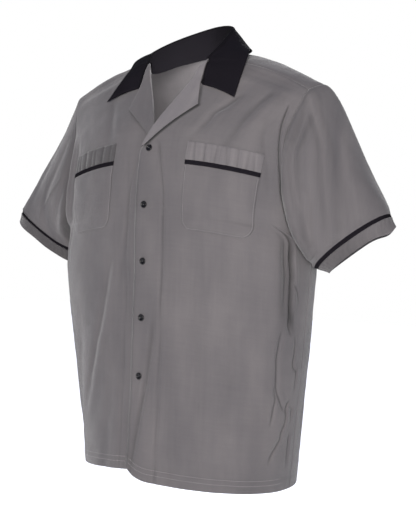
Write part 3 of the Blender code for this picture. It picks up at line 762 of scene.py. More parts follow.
class Finish(Graph):
    """A material with a Principled shader."""

    def __init__(self, name):
        self.material = bpy.data.materials.new(name)
        self.material.use_nodes = True
        super().__init__(self.material.node_tree)
        self.shader = self.tree.nodes["Principled BSDF"]

    def set(self, **values):
        for name, value in values.items():
            label = name.replace("_", " ").title().replace("Ior", "IOR")
            self.feed(self.shader.inputs[label], value)


# %% [markdown]
# Every cloth mesh carries its own flat coordinates in metres, across and along the
# grain, in an attribute called cloth. The weave, the slubs and the streaks all use
# them, so the threads run along each piece. The attribute's third number is a shade
# from 0 to 1, which darkens the bottom of a crease.


# %% The cloth finishes
THREAD_PITCH = 0.00046
SHADE_STRENGTH = 0.92
SHADE_DARKNESS = 0.08
SHEEN_ROUGHNESS = 0.45


def cloth_finish(name, dark, light, streak, sheen, specular):
    finish = Finish(name)
    at = finish.node("ShaderNodeAttribute", {"attribute_name": "cloth"}, {}, output=1)
    grain = finish.node("ShaderNodeSeparateXYZ", {}, {0: at})
    along = finish.node("ShaderNodeSeparateXYZ", {}, {0: at}, output=1)
    shade = finish.node("ShaderNodeSeparateXYZ", {}, {0: at}, output=2)
    at = finish.stretched(at, 1.0, 1.0, 0.0)
    turn = 2 * math.pi / THREAD_PITCH
    warp = finish.node("ShaderNodeMath", {"operation": "SINE"}, {0: grain * turn})
    weft = finish.node("ShaderNodeMath", {"operation": "SINE"}, {0: along * turn})
    weave = warp * weft
    long_slub = finish.noise(finish.stretched(at, 900.0, 45.0), 1.0, 3.0)
    cross_slub = finish.noise(finish.stretched(at, 45.0, 900.0), 1.0, 3.0)
    bands = finish.noise(finish.stretched(at, 170.0, 7.0), 1.0, 2.0)
    patches = finish.noise(finish.stretched(at, 16.0, 6.0), 1.0, 3.0)
    weft_bands = finish.noise(finish.stretched(at, 9.0, 210.0), 1.0, 2.0)
    tone = 1.00 * patches + 0.30 * long_slub + 0.24 * cross_slub + streak * bands + 0.16 * weft_bands
    tone = tone + 0.04 * weave - (0.34 + 0.5 * streak)
    colour = finish.mix(tone, (*dark, 1.0), (*light, 1.0))
    deep = tuple(SHADE_DARKNESS * c for c in dark)
    colour = finish.mix(SHADE_STRENGTH * shade, colour, (*deep, 1.0))
    rough = 0.80 + 0.12 * long_slub - 0.06 * weave
    crumple = finish.noise(at, 60.0, 4.0)
    height = 0.00010 * weave + 0.00006 * long_slub + 0.00006 * cross_slub + 0.00045 * crumple
    bump = finish.node("ShaderNodeBump", {}, {"Strength": 0.55, "Distance": 1.0, "Height": height})
    finish.set(base_color=colour, roughness=rough, normal=bump, metallic=0.0)
    finish.set(sheen_weight=sheen, sheen_roughness=SHEEN_ROUGHNESS, specular_ior_level=specular)
    return finish.material


GREY_DARK = (0.0205, 0.0192, 0.0218)
GREY_LIGHT = (0.0520, 0.0472, 0.0480)
BLACK_DARK = (0.0016, 0.0012, 0.0020)
BLACK_LIGHT = (0.0034, 0.0028, 0.0042)


def grey_finish(name, brightness, streak):
    dark = tuple(brightness * c for c in GREY_DARK)
    light = tuple(brightness * c for c in GREY_LIGHT)
    return cloth_finish(name, dark, light, streak, 0.10, 0.25)


grey_cloth = grey_finish("grey cloth", 1.0, 0.20)
# Painted light: the left lapel's grey is made 1.55 times as bright, for the light that falls on it.
grey_lapel_painted_light = grey_finish("grey cloth, painted light", 1.55, 0.20)
grey_turned = grey_finish("grey cloth cut across", 1.0, 0.80)
# Painted light and painted shade: the left pocket band's grey is made lighter and the right bands' grey
# darker, for how the light falls on them.
grey_band_painted_light = grey_finish("grey cloth cut across, facing the light", 1.22, 0.80)
grey_shaded = grey_finish("grey cloth cut across, away from the light", 0.56, 0.80)
black_cloth = cloth_finish("black cloth", BLACK_DARK, BLACK_LIGHT, 0.10, 0.0, 0.05)


def plain_finish(name, colour, roughness, mottle, specular=0.5):
    """Thread or moulded plastic: one colour with a little mottling."""
    finish = Finish(name)
    at = finish.node("ShaderNodeTexCoord", {}, {}, output=3)
    spots = finish.noise(at, 900.0, 2.0)
    darker = tuple(c * (1 - mottle) for c in colour)
    lighter = tuple(c * (1 + mottle) for c in colour)
    shade = finish.mix(spots, (*darker, 1.0), (*lighter, 1.0))
    finish.set(base_color=shade, roughness=roughness + 0.1 * spots, specular_ior_level=specular)
    return finish.material


grey_thread = plain_finish("grey thread", (0.165, 0.156, 0.160), 0.6, 0.2)
black_thread = plain_finish("black thread", (0.018, 0.017, 0.020), 0.6, 0.3)
button_plastic = plain_finish("black button plastic", (0.0012, 0.0012, 0.0016), 0.20, 0.2, 0.14)
print("finishes:", [material.name for material in bpy.data.materials][-6:])

# %% [markdown]
# ## Making a piece of cloth
# Each piece is a grid of points. The grid becomes an open mesh, and a Solidify
# modifier gives it a thickness, half to each side. A sleeve's grid closes on
# itself under the arm. The cloth attribute holds lengths measured along the grid,
# except that a panel's second number, and both of a pocket's, are read from its
# place on the body.


# %% The cloth maker
HOLLOW_GAIN = 2.6
LEAST_STEP = 0.2
WELD = 0.02


def put(name, data):
    """An object with this data, linked to the scene."""
    made = bpy.data.objects.new(name, data)
    bpy.context.scene.collection.objects.link(made)
    return made


def grid_faces(rows, columns, flip):
    """Quads of a grid, as rows of four point numbers."""
    first = (np.arange(rows - 1)[:, None] * columns + np.arange(columns - 1)[None, :]).ravel()
    quads = np.stack([first, first + 1, first + columns + 1, first + columns], axis=1)
    return quads[:, ::-1] if flip else quads


def hollow(points, flip):
    """How deep in shade each point lies, from 0 to 1, by how sharply the cloth turns in."""
    across = np.gradient(points, axis=1)
    along = np.gradient(points, axis=0)
    normal = unit(np.cross(across, along) + 1e-12) * (-1.0 if flip else 1.0)
    total = 0.0
    for axis, step in ((1, across), (0, along)):
        length = np.maximum(np.linalg.norm(step, axis=-1, keepdims=True), LEAST_STEP)
        turn = np.gradient(step / length, axis=axis) / length
        total = total + np.clip(np.sum(turn * normal, axis=-1), 0.0, 1.0)
    return 1.0 - np.exp(-HOLLOW_GAIN * total)


def make_cloth(name, grids, finish, flip=False, wall=SHELL, shades=None):
    """grids are (points, across, along) in millimetres; flat coordinates in the last two."""
    verts, faces, flats = [], [], []
    count = 0
    for number, (points, across, along) in enumerate(grids):
        rows, columns = points.shape[:2]
        verts.append(points.reshape(-1, 3) * MM)
        shade = hollow(points, flip)
        if shades is not None:
            shade = np.maximum(shade, shades[number])
        flats.append(np.stack([across * MM, along * MM, shade], axis=-1).reshape(-1, 3))
        faces.append(grid_faces(rows, columns, flip) + count)
        count += rows * columns
    verts = np.concatenate(verts)
    mesh = bpy.data.meshes.new(name)
    mesh.from_pydata(verts.tolist(), [], np.concatenate(faces).tolist())
    flat = mesh.attributes.new("cloth", "FLOAT_VECTOR", "POINT")
    flat.data.foreach_set("vector", np.concatenate(flats).ravel())
    built = bmesh.new()
    built.from_mesh(mesh)
    bmesh.ops.remove_doubles(built, verts=built.verts, dist=WELD * MM)
    built.to_mesh(mesh)
    built.free()
    mesh.materials.append(finish)
    mesh.shade_smooth()
    made = put(name, mesh)
    solid = made.modifiers.new("Wall", "SOLIDIFY")
    solid.thickness = wall * MM
    solid.offset = 0.0
    return made


def cloth_area(made):
    """The cloth's area in square metres, from its open mesh."""
    return sum(face.area for face in made.data.polygons)


def dress(made, node, flat, area=None):
    """The piece stands for a CAD node, which is hidden, and its area is printed beside the area given for
    its cut.
    """
    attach(made, "root")
    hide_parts(node)
    print(made.name, "area", round(cloth_area(made), 4), "declared", area or flat[0] * flat[1])


# %% [markdown]
# ## Stitching
# A stitch is a short strand that dips into the cloth at both ends. A lock-stitched
# line is made of hundreds, so they are worked out along a path and joined into one
# mesh, eight small faces each, 2.5 mm long at a 3.1 mm pitch.

# %% The stitch maker
STITCH = 2.5
STITCH_PITCH = 3.1
STITCH_RADIUS = 0.31
STITCH_BULGE = 0.4
STITCH_DIP = 0.15
FIRST_STITCH = 0.6
THREAD_LIFT = SHELL / 2 + 0.12


def stitch_mesh(name, lines, finish):
    """lines are (points, normals) along the cloth, dense enough to follow it."""
    verts, faces = [], []
    for points, normals in lines:
        run = run_length(points, 0)
        starts = np.arange(FIRST_STITCH, run[-1] - STITCH, STITCH_PITCH)
        at = np.stack([starts, starts + STITCH / 2, starts + STITCH], axis=1)
        place_at = np.stack([np.interp(at, run, points[:, k]) for k in range(3)], axis=-1)
        up = unit(np.stack([np.interp(at[:, 1], run, normals[:, k]) for k in range(3)], axis=-1))
        way = unit(place_at[:, 2] - place_at[:, 0])
        across = np.cross(up, way)
        for k in range(len(starts)):
            base = len(verts)
            first, middle, last = place_at[k]
            middle = middle + up[k] * STITCH_RADIUS * STITCH_BULGE
            ring = [across[k], up[k], -across[k], -up[k]]
            verts.append(first - up[k] * STITCH_DIP)
            verts.extend(middle + r * STITCH_RADIUS for r in ring)
            verts.append(last - up[k] * STITCH_DIP)
            for j in range(4):
                a, b = base + 1 + j, base + 1 + (j + 1) % 4
                faces.append((base, b, a))
                faces.append((base + 5, a, b))
    mesh = bpy.data.meshes.new(name)
    mesh.from_pydata((np.array(verts) * MM).tolist(), [], faces)
    mesh.materials.append(finish)
    mesh.shade_smooth()
    made = put(name, mesh)
    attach(made, "root")
    print(name, "stitches:", len(faces) // 8)
    return made


def sewn_line(panel, side, levels, xs, lift=THREAD_LIFT):
    """A stitching line over a panel: its points and normals."""
    levels, xs = np.asarray(levels, float), np.asarray(xs, float)
    return on_cloth(panel, side, levels, xs, lift), cloth_normal(panel, side, levels, xs)


# %% [markdown]
# ## The body
# Two fronts and one back. Rows run across the body and are spread by angle round
# it, which packs them closer at the sides, where the tight folds are. The rows are
# about three millimetres apart, fine enough for the narrowest fold.


# %% Fronts and back
def roll_x(level):
    """Distance of the lapel's roll line from the centre."""
    return GORGE_X - ROLL_SLOPE * (GORGE_LEVEL - level)


def front_inner_x(level):
    """The front edge, then the roll line, then the neck seam."""
    edge = np.maximum(-OVERLAP, roll_x(level))
    return np.where(level > GORGE_LEVEL, FRONT_NECK.at("x", level), edge)


def back_inner_x(level):
    return np.where(level > BACK_NECK.key[0], BACK_NECK.at("x", level), 0.0)


FRONT_COLUMNS = joined((0, 0.62, 66), (0.62, 1, 96))
BACK_COLUMNS = np.linspace(0, 1, 92)


EASE_ROWS = 9
EASE_SPREAD = 4.5
EASE_REACH = 18.0
EASE_FROM = 186.0
EASE_FADE = 24.0
EASE_SHARE = 0.9
SIDE_GAP = 0.1
MEAN_RADIUS = 150.0


def soften(points, from_armpit, x):
    """Eases the turn of the rows where the side seam gives way to the armhole."""
    weights = bell(np.arange(-EASE_ROWS, EASE_ROWS + 1), EASE_SPREAD)
    weights = weights / weights.sum()
    padded = np.concatenate([points[:1]] * EASE_ROWS + [points] + [points[-1:]] * EASE_ROWS)
    eased = sum(w * padded[k : k + len(points)] for k, w in enumerate(weights))
    share = bell(from_armpit, EASE_REACH) * smooth_step((x - EASE_FROM) / EASE_FADE) * EASE_SHARE
    return points + (eased - points) * share[..., None]


def panel_grid(panel, levels, columns, inner_x, outer_gap=0.0):
    """Level and distance from the centre at every point of a panel's cloth."""
    level = np.repeat(levels[:, None], len(columns), axis=1)
    start = bearing(panel, levels, inner_x(levels))
    end = bearing(panel, levels, outer_end(panel, levels)[0]) - math.degrees(outer_gap / MEAN_RADIUS)
    angle = start[:, None] + (end - start)[:, None] * columns[None, :]
    return level, from_bearing(panel, level, angle)


def panel_sheet(panel, side, levels, columns, inner_x):
    """Points and flat coordinates of a panel, creased, hemmed and turned in at its seams."""
    level, x = panel_grid(panel, levels, columns, inner_x, SIDE_GAP)
    points, normals, move = cloth_move(panel, side, level, x)
    across = run_length(points, 1)
    from_side = across[:, -1:] - across
    from_top = run_length(points[::-1], 0)[::-1]
    from_hem = level - HEM_LEVEL
    move = move + seam_dip(from_side, depth=0.45, reach=2.2)
    move = move + seam_dip(from_top)
    centre = np.argmin(np.abs(x), axis=1)
    across = across - across[np.arange(len(levels)), centre][:, None]
    hem = hem_shape(from_hem, across)
    if side == "right" and panel == "front":
        hem = hem * uncovered(x)
    move = move + hem
    moved = points + normals * move[..., None]
    from_armpit = level - PANELS[panel]["armhole"].key[0]
    return soften(moved, from_armpit, x), across * SIDE[side], level


FRONT_LEVELS = joined((-700, -272, 146), (-272, -11, 92), (-11, 7.8, 10))
BACK_LEVELS = joined((-700, -283, 118), (-283, 7, 84))
BACK_TOP_LEVELS = np.linspace(7, 85.8, 40)
print("rows of a front and of the back:", len(FRONT_LEVELS), len(BACK_LEVELS) + len(BACK_TOP_LEVELS))

# %% [markdown]
# Soft light alone leaves a narrow fold too pale, so the fronts also carry a shade
# along the lines that read darkest in the reference. Each line has a strength and a
# width in millimetres, and fades out at its two heights.

# %% Where a front is shaded
EDGE_SHADE = {"left": 1.0, "right": 0.35}
LINE_SHADE = {
    "facing seam": (0.34, 1.6),
    "fold to the hem corner": (0.34, 4.5),
    "armhole fold": (0.85, 2.6),
    "beside the armhole fold": (0.32, 8.0),
    "under the sleeve": (0.42, 7.0),
}
FRONT_EDGE_SHADE = 0.70
FRONT_EDGE_WIDTH = 3.0
CORNER_FOLD_LINE = ((-700, -640, -590, -535, -470, -420), (-12, -5, 4, 14, 21, 26))
ARMHOLE_FOLD_LINE = ((-432, -384, -335, -262, -190), (230.5, 232.0, 235.0, 231.5, 221.0))


def between(level, low, low_fade, high, high_fade):
    """One between two heights, fading to nothing towards both."""
    return smooth_step((level - low) / low_fade) * smooth_step((high - level) / high_fade)


def line_shade(name, span, distance):
    strength, width = LINE_SHADE[name]
    return strength * span * bell(distance, width)


def lapel_edge_shade(side, level, x):
    """Painted shadow under the lapel's outer edge, from the break to the corner and on to the notch."""
    start = np.array([BREAK_LEVEL + 2.0, roll_x(BREAK_LEVEL) + 5.0])
    corner = np.array(LAPEL_CORNER[side])
    notch = np.array([LAPEL_NOTCH[0] - 3.0, LAPEL_NOTCH[1] + 2.5])
    at = np.stack([level, x], axis=-1)
    shade = np.zeros_like(level)
    for first, second, deep, width in ((start, corner, 1.0, 3.0), (corner, notch, 0.85, 2.0)):
        way = second - first
        t = np.clip(((at - first) @ way) / (way @ way), 0.0, 1.0)
        distance = np.linalg.norm(at - (first + t[..., None] * way), axis=-1)
        shade = np.maximum(shade, deep * EDGE_SHADE[side] * bell(distance, width, 4))
    return shade


def left_lines(level, x):
    """Painted shade along the facing's seam, two folds and the front edge of the left front."""
    from_facing = x - FACING_LINE.at("x", level)
    from_corner_fold = x - np.interp(level, *CORNER_FOLD_LINE)
    from_fold = x - np.interp(level, *ARMHOLE_FOLD_LINE)
    fold_span = between(level, -440, 40, -240, 70)
    low_edge = FRONT_EDGE_SHADE + 0.10 * smooth_step((-560.0 - level) / 80.0)
    return [
        line_shade("facing seam", between(level, -470, 60, -150, 20), from_facing),
        line_shade("fold to the hem corner", smooth_step((-425.0 - level) / 50.0), from_corner_fold),
        line_shade("armhole fold", fold_span, from_fold),
        line_shade("beside the armhole fold", fold_span, from_fold + 5.0),
        smooth_step((-170.0 - level) / 60.0) * low_edge * bell(x - x[:, :1], FRONT_EDGE_WIDTH),
    ]


def front_shade(side):
    """The darkest of the lines at each point of a front."""
    level, x = panel_grid("front", FRONT_LEVELS, FRONT_COLUMNS, front_inner_x)
    if side == "left":
        lines = left_lines(level, x)
    else:
        from_side = outer_end("front", level)[0] - x
        lines = [line_shade("under the sleeve", between(level, -300, 30, -80, 40), from_side)]
    return np.maximum.reduce([lapel_edge_shade(side, level, x)] + lines)


# %% The cloth of the fronts and the back
fronts = {}
for side in SIDE:
    sheet = panel_sheet("front", side, FRONT_LEVELS, FRONT_COLUMNS, front_inner_x)
    name = "front_" + side + "_cloth"
    fronts[side] = make_cloth(name, [sheet], grey_cloth, flip=side == "right", shades=[front_shade(side)])

back_sheets = []
for side in SIDE:
    for levels in (BACK_LEVELS, BACK_TOP_LEVELS):
        points, across, along = panel_sheet("back", side, levels, BACK_COLUMNS, back_inner_x)
        if side == "right":
            points, across, along = points[:, ::-1], across[:, ::-1], along[:, ::-1]
        back_sheets.append((points, across, along))
back = make_cloth("back_cloth", back_sheets, grey_cloth, flip=True)

# %% [markdown]
# ## Lapels
# There is no separate revers on this shirt: the front edge folds open along the
# roll line, so what shows is the facing. The cloth rolls over a small radius and
# then lies back on the chest, a little clear of it. The thin dark gap under its
# edge is deepened by the shade that the front carries there.


# %% Lapels
def lapel_top(side, t):
    """The lapel's upper edge: down the gorge seam to the notch, then to the corner."""
    stops = (0.0, LAPEL_NOTCH_AT, 1.0)
    level = np.interp(t, stops, (GORGE_LEVEL, LAPEL_NOTCH[0], LAPEL_CORNER[side][0]))
    x = np.interp(t, stops, (GORGE_X, LAPEL_NOTCH[1], LAPEL_CORNER[side][1]))
    return level, x


def lapel_point(side, u, t):
    """Level and distance at u up the roll line and t across to the free edge."""
    level = BREAK_LEVEL + (GORGE_LEVEL - BREAK_LEVEL) * u
    x = roll_x(level)
    low = (BREAK_LEVEL + 2.0, roll_x(BREAK_LEVEL) + 5.0)
    level_out = low[0] + (LAPEL_CORNER[side][0] - low[0]) * u
    x_out = low[1] + (LAPEL_CORNER[side][1] - low[1]) * u
    level_top, x_top = lapel_top(side, t)
    level_straight = GORGE_LEVEL + (LAPEL_CORNER[side][0] - GORGE_LEVEL) * t
    x_straight = GORGE_X + (LAPEL_CORNER[side][1] - GORGE_X) * t
    level = level + (level_out - level) * t + (level_top - level_straight) * u**4
    x = x + (x_out - x) * t + (x_top - x_straight) * u**4
    return level, x


def lapel_points(side, u, columns):
    """The roll over the fold, then the cloth that lies back on the front."""
    level, x = lapel_point(side, u, 0.0)
    level, x = np.array(level), np.array(x)
    edge = place("front", side, level, x)
    normal = outward("front", side, level, x)
    across = unit(place("front", side, *lapel_point(side, u, 0.5)) - edge)
    across = unit(across - normal * np.dot(across, normal))
    row = []
    for turn in np.linspace(0.04, 0.94, 11):
        swing = math.pi * turn
        out = -across * math.sin(swing) * FOLD_RADIUS
        row.append(edge + out + normal * FOLD_RADIUS * (1 - math.cos(swing)))
    level, x = lapel_point(side, u, columns)
    lift = 2 * FOLD_RADIUS + (LAPEL_LIFT - 2 * FOLD_RADIUS) * columns
    flat = place("front", side, level, x)
    lift = lift + loosened(flat) * 0.4
    return np.concatenate([row, flat + outward("front", side, level, x) * lift[:, None]])


def lapel_shade(rows):
    """Painted shade along the edge and the roll, so that neither shows as a bright line."""
    from_edge = run_length(rows[:, ::-1], 1)[:, ::-1]
    from_roll = run_length(rows, 1)
    return 0.22 * bell(from_edge, 1.4) + 0.30 * bell(from_roll, 4.5)


LAPEL_COLUMNS = joined((0.03, LAPEL_NOTCH_AT, 18), (LAPEL_NOTCH_AT, 0.995, 18))
LAPEL_FOOT = {"left": 0.0, "right": 0.16}
LAPEL_TOP = 0.992
lapels = {}
for side in SIDE:
    heights = np.linspace(LAPEL_FOOT[side], LAPEL_TOP, 64)
    rows = np.array([lapel_points(side, u, LAPEL_COLUMNS) for u in heights])
    sheet = (rows, run_length(rows, 1), run_length(rows, 0))
    name = "lapel_" + side + "_cloth"
    # The left lapel's grey carries painted light.
    finish = grey_lapel_painted_light if side == "left" else grey_cloth
    shades = [lapel_shade(rows)]
    lapels[side] = make_cloth(name, [sheet], finish, flip=side == "right", wall=1.0, shades=shades)

# %% [markdown]
# ## Collar
# A camp collar is cut in one piece: the stand rises inside the neck, folds over,
# and the fall lies outside. Fold, outer edge and foot are three curves round the
# neck, and the cloth is stretched between them with a rounded fold.

# %% Collar
COLLAR_FOLD = Table(
    "station x y z",
    (0, 62.5, -37, -7.5),
    (1, 71, -7, 18),
    (2, 60, 43, 50),
    (3, 2, 75, 58),
    (4, -59, 47, 38),
    (5, -80, -5, 11),
    (6, -62.5, -37, -7.8),
)
COLLAR_FOOT = Table(
    "station x y z",
    (0, 60.5, -30.5, -8.5),
    (1, 75, -5, -15),
    (2, 56, 48, -4),
    (3, 0, 69.5, 3),
    (4, -56, 48, -9),
    (5, -75, -5, -26),
    (6, -60.5, -30.5, -8.8),
)
COLLAR_EDGE = Table(
    "station x y z",
    (-1, 134, -68, -79),
    (0, 129, -24, -18),
    (1, 115, 12, 5),
    (2, 80, 64, 6),
    (3, 0, 91, -8),
    (4, -82, 64, 6),
    (5, -114, 6, 3),
    (6, -111, -32, -23.5),
    (7, -131, -67, -76),
)
COLLAR_FOLD_RADIUS = 3.0
COLLAR_ROUNDING_END = 2.4
COLLAR_FULLNESS = 2.5
GORGE_GAP = 1.3
COLLAR_WALL = 1.6
COLLAR_SHADES = (0.0, 0.45)
COLLAR_WAVES = ((21, 70.0, 0.25), (22, 26.0, 0.06))
COLLAR_COLUMNS = 133
GORGE_COLUMNS = 18
FALL_STEPS = np.linspace(0.0, 1.0, 24)
STAND_STEPS = np.linspace(0.0, 1.0, 16)
FOLD_TURNS = np.radians(np.linspace(0, 90, 6))[:-1]
UP = np.array([0.0, 0.0, 1.0])


def rolled(fold_point, out, rounding):
    """A quarter turn from the top of the fold, and the point where it ends."""
    row = [fold_point + out * rounding * math.sin(a) - UP * rounding * (1 - math.cos(a)) for a in FOLD_TURNS]
    return row, fold_point + (out - UP) * rounding


def fall_row(fold_point, edge, rounding):
    """From the fold, over its rounded outer side, to the fall's outer edge."""
    out = np.array([edge[0] - fold_point[0], edge[1] - fold_point[1], 0.0])
    reach = np.linalg.norm(out)
    out = out / reach
    drop = fold_point[2] - edge[2]
    full = unit(out * drop + UP * reach) * COLLAR_FULLNESS
    row, turned = rolled(fold_point, out, rounding)
    row.extend(turned + (edge - turned) * t + full * 4 * t * (1 - t) for t in FALL_STEPS)
    return np.array(row)


def stand_row(fold_point, edge, foot, rounding):
    """From the fold, over its rounded inner side, down to the stand's foot."""
    out = unit(np.array([edge[0] - fold_point[0], edge[1] - fold_point[1], 0.0]))
    row, turned = rolled(fold_point, -out, rounding)
    row.extend(turned + (foot - turned) * t for t in STAND_STEPS)
    return np.array(row)


def gorge_rows(side, end, way):
    """The fall beside a lapel, from the notch up to the end of the fold."""
    rows = []
    for step in np.linspace(0.0, 1.0, GORGE_COLUMNS)[:-1]:
        level = np.array(LAPEL_NOTCH[0] + (GORGE_LEVEL - LAPEL_NOTCH[0]) * step)
        x = np.array(LAPEL_NOTCH[1] + (GORGE_X - LAPEL_NOTCH[1]) * step + GORGE_GAP)
        inner = place("front", side, level, x) + outward("front", side, level, x) * 2 * FOLD_RADIUS
        rows.append(fall_row(inner, COLLAR_EDGE.point(end + way * step), COLLAR_ROUNDING_END))
    return rows


def collar_rows():
    """The fall with its gorge ends, and the stand between them."""
    fall = gorge_rows("left", -1.0, 1.0)
    stand = []
    for station in np.linspace(0, 6, COLLAR_COLUMNS):
        fold_point = COLLAR_FOLD.point(station)
        edge = COLLAR_EDGE.point(station)
        full = float(smooth_step(min(station, 6 - station) / 0.8))
        rounding = max(COLLAR_ROUNDING_END, COLLAR_FOLD_RADIUS * full)
        fall.append(fall_row(fold_point, edge, rounding))
        stand.append(stand_row(fold_point, edge, COLLAR_FOOT.point(station), rounding))
    fall = fall + gorge_rows("right", 7.0, -1.0)[::-1]
    return np.array(fall), np.array(stand)[:, ::-1]


def collar_shape(points):
    """Interfaced cloth: nearly smooth, with an edge pressed flat."""
    return sum(waves(points, *wave) for wave in COLLAR_WAVES)


def grid_normals(points):
    along = np.gradient(points, axis=0)
    across = np.gradient(points, axis=1)
    return unit(np.cross(along, across) + 1e-12)


collar_sheets = []
for rows in collar_rows():
    moved = rows + grid_normals(rows) * collar_shape(rows)[..., None]
    collar_sheets.append((moved, run_length(rows, 1), run_length(rows, 0)))
shades = COLLAR_SHADES
collar = make_cloth("collar_cloth", collar_sheets, black_cloth, flip=True, wall=COLLAR_WALL, shades=shades)

# %% [markdown]
# ## Sleeves
# A short sleeve is a tube from the armhole to the cuff. Each thread down the tube
# leaves the armhole in its own direction and arrives in line with the band, so the
# cap rounds over the shoulder and the underarm folds. Piping and a turned band
# finish the end. The bands' depth varies round the cuff.

# %% Sleeve sizes
CUFF_RING = {
    "left": {
        "centre": (317.5, -3.5, -313),
        "outer": (55.5, 23.5, 43),
        "front": (8.5, -29, 12.5),
        "back": (-20.5, 39, 13.5),
    },
    "right": {
        "centre": (318, -12, -307),
        "outer": (61, -2, 39.5),
        "front": (0, -30, 6),
        "back": (-20, 36, 8),
        "rise": 5.0,
    },
}
BAND_RING = {
    "left": {
        "centre": (336, -4.5, -325.5),
        "outer": (53, 9.5, 38),
        "front": (6.5, -24, 4.5),
        "back": (-29, 43.5, -4.0),
        "drop": 7.5,
    },
    "right": {
        "centre": (323, -10, -329),
        "outer": (64, -8, 41),
        "front": (-9.5, -30, -2),
        "back": (-20, 36, -3),
        "rise": 3.0,
        "drop": 2.0,
    },
}
SLEEVE_FORM = {
    "left": {"cap": 10.0, "sag": 0.0, "under": 1.0},
    "right": {"cap": 0.0, "sag": 9.0, "under": 0.5},
}
SLEEVE_OUT = (0.87, 0.0, 0.49)
SLEEVE_LEAVE = Table(
    "angle x y z gap pull arrive",
    (0, 0.50, 0.00, -0.86, -0.4, 120, 110),
    (60, 0.52, -0.42, -0.74, -0.4, 130, 100),
    (110, 0.42, -0.58, -0.70, -0.4, 145, 75),
    (150, 0.66, -0.60, -0.46, -0.2, 145, 50),
    (165, 0.88, -0.38, -0.28, 0.0, 100, 40),
    (180, 0.92, -0.15, -0.36, 0.0, 55, 30),
    (210, 0.80, 0.15, -0.58, 0.0, 50, 30),
    (250, 0.56, 0.36, -0.74, -0.4, 90, 60),
    (300, 0.52, 0.42, -0.74, -0.4, 120, 100),
    (360, 0.50, 0.00, -0.86, -0.4, 120, 110),
)
SLEEVE_FOLDS = {
    "left": [
        fold(
            (20, 0.04, 7.0, 0.0), (29, 0.13, 6.0, -3.0), (36, 0.25, 6.0, -4.4), (46, 0.37, 7.0, -4.4),
            (70, 0.53, 8.0, -3.8), (98, 0.76, 8.0, -3.0), (112, 0.93, 9.0, 0.0), lip=0.45,
        ),
        fold(
            (28, 0.06, 5.5, 0.0), (38, 0.13, 5.0, -3.0), (57, 0.16, 5.0, -4.2), (72, 0.18, 5.5, -4.0),
            (98, 0.33, 6.5, -3.4), (118, 0.55, 7.5, 0.0), lip=0.4,
        ),
        fold(
            (86, 0.36, 6.0, 0.0), (98, 0.46, 6.0, -2.6), (120, 0.56, 6.0, -2.8), (136, 0.66, 6.0, 0.0),
        ),
        fold(
            (125, 0.12, 10.0, 0.0), (140, 0.30, 12.0, 5.0), (150, 0.50, 13.0, 8.0),
            (158, 0.70, 12.0, 7.0), (166, 0.92, 10.0, 0.0),
        ),
        fold(
            (14, 0.30, 12.0, 0.0), (31, 0.46, 12.0, -2.0), (55, 0.66, 12.0, -2.2),
            (76, 0.90, 12.0, -1.0),
        ),
        fold(
            (330, 0.20, 12.0, 0.0), (322, 0.40, 12.0, -2.6), (318, 0.65, 13.0, -2.8),
            (316, 0.95, 14.0, -1.4),
        ),
        fold(
            (285, 0.10, 9.0, 0.0), (262, 0.25, 9.0, -3.4), (240, 0.45, 10.0, -3.6),
            (225, 0.75, 11.0, -1.2),
        ),
    ],
    "right": [
        fold(
            (48, 0.14, 8.0, 0.0), (62, 0.26, 8.0, -1.6), (76, 0.45, 8.0, -2.2), (98, 0.72, 8.0, -1.6),
            (112, 0.92, 9.0, 0.0), lip=0.1,
        ),
        fold(
            (70, 0.05, 6.0, 0.0), (90, 0.12, 6.0, -1.6), (112, 0.30, 7.0, -2.0), (126, 0.62, 8.0, -1.4),
            (130, 0.9, 8.0, 0.0),
        ),
        fold(
            (20, 0.25, 12.0, 0.0), (36, 0.45, 12.0, -2.0), (52, 0.70, 12.0, -2.0),
            (60, 0.95, 12.0, -0.8),
        ),
        fold(
            (330, 0.20, 12.0, 0.0), (326, 0.45, 12.0, -2.4), (320, 0.70, 13.0, -2.6),
            (318, 0.95, 14.0, -1.4),
        ),
        fold(
            (290, 0.10, 9.0, 0.0), (268, 0.25, 9.0, -3.2), (246, 0.45, 10.0, -3.4),
            (230, 0.75, 11.0, -1.2),
        ),
    ],
}


# %% The sleeve's surface
CAP_PEAK = 0.0819
ARMHOLE_FRONT = FRONT_ARMHOLE.point(np.linspace(8, -272, 60))
ARMHOLE_BACK = BACK_ARMHOLE.point(np.linspace(-283, 58, 60))
ARMHOLE_TOP = BACK_ARMHOLE.point(np.linspace(58, 86, 12))
ARMHOLE_LOOP = np.concatenate([ARMHOLE_TOP, ARMHOLE_FRONT[1:], ARMHOLE_BACK[1:]])
ARMHOLE_RUN = run_length(ARMHOLE_LOOP, 0)
ARMPIT_RUN = ARMHOLE_RUN[len(ARMHOLE_TOP) + len(ARMHOLE_FRONT) - 2]


def armhole_point(side, angles):
    """Points round the armhole: 0 degrees at the top, 180 at the armpit."""
    angles = np.mod(angles, 360)
    front = angles / 180 * ARMPIT_RUN
    rest = ARMHOLE_RUN[-1] - ARMPIT_RUN
    want = np.where(angles < 180, front, ARMPIT_RUN + (angles - 180) / 180 * rest)
    ring = np.stack([np.interp(want, ARMHOLE_RUN, ARMHOLE_LOOP[:, k]) for k in range(3)], axis=-1)
    return ring * np.array([SIDE[side], 1.0, 1.0])


def end_ring(shape, side, angles):
    """A ring of two half ellipses, with a rise under the arm and a drop near the outer end."""
    arm = {name: np.array(shape[name], dtype=float) for name in ("centre", "outer", "front", "back")}
    turn = np.sin(np.radians(angles))[..., None]
    across = np.where(turn > 0, turn * arm["front"], -turn * arm["back"])
    ring = arm["centre"] + np.cos(np.radians(angles))[..., None] * arm["outer"] + across
    from_top = np.abs(np.mod(np.asarray(angles, float) + 180, 360) - 180)
    rise = shape.get("rise", 0.0) * smooth_step((from_top - 115) / 65)
    drop = shape.get("drop", 0.0) * bell(from_top - 33, 22)
    ring[..., 2] += rise - drop
    return ring * np.array([SIDE[side], 1.0, 1.0])


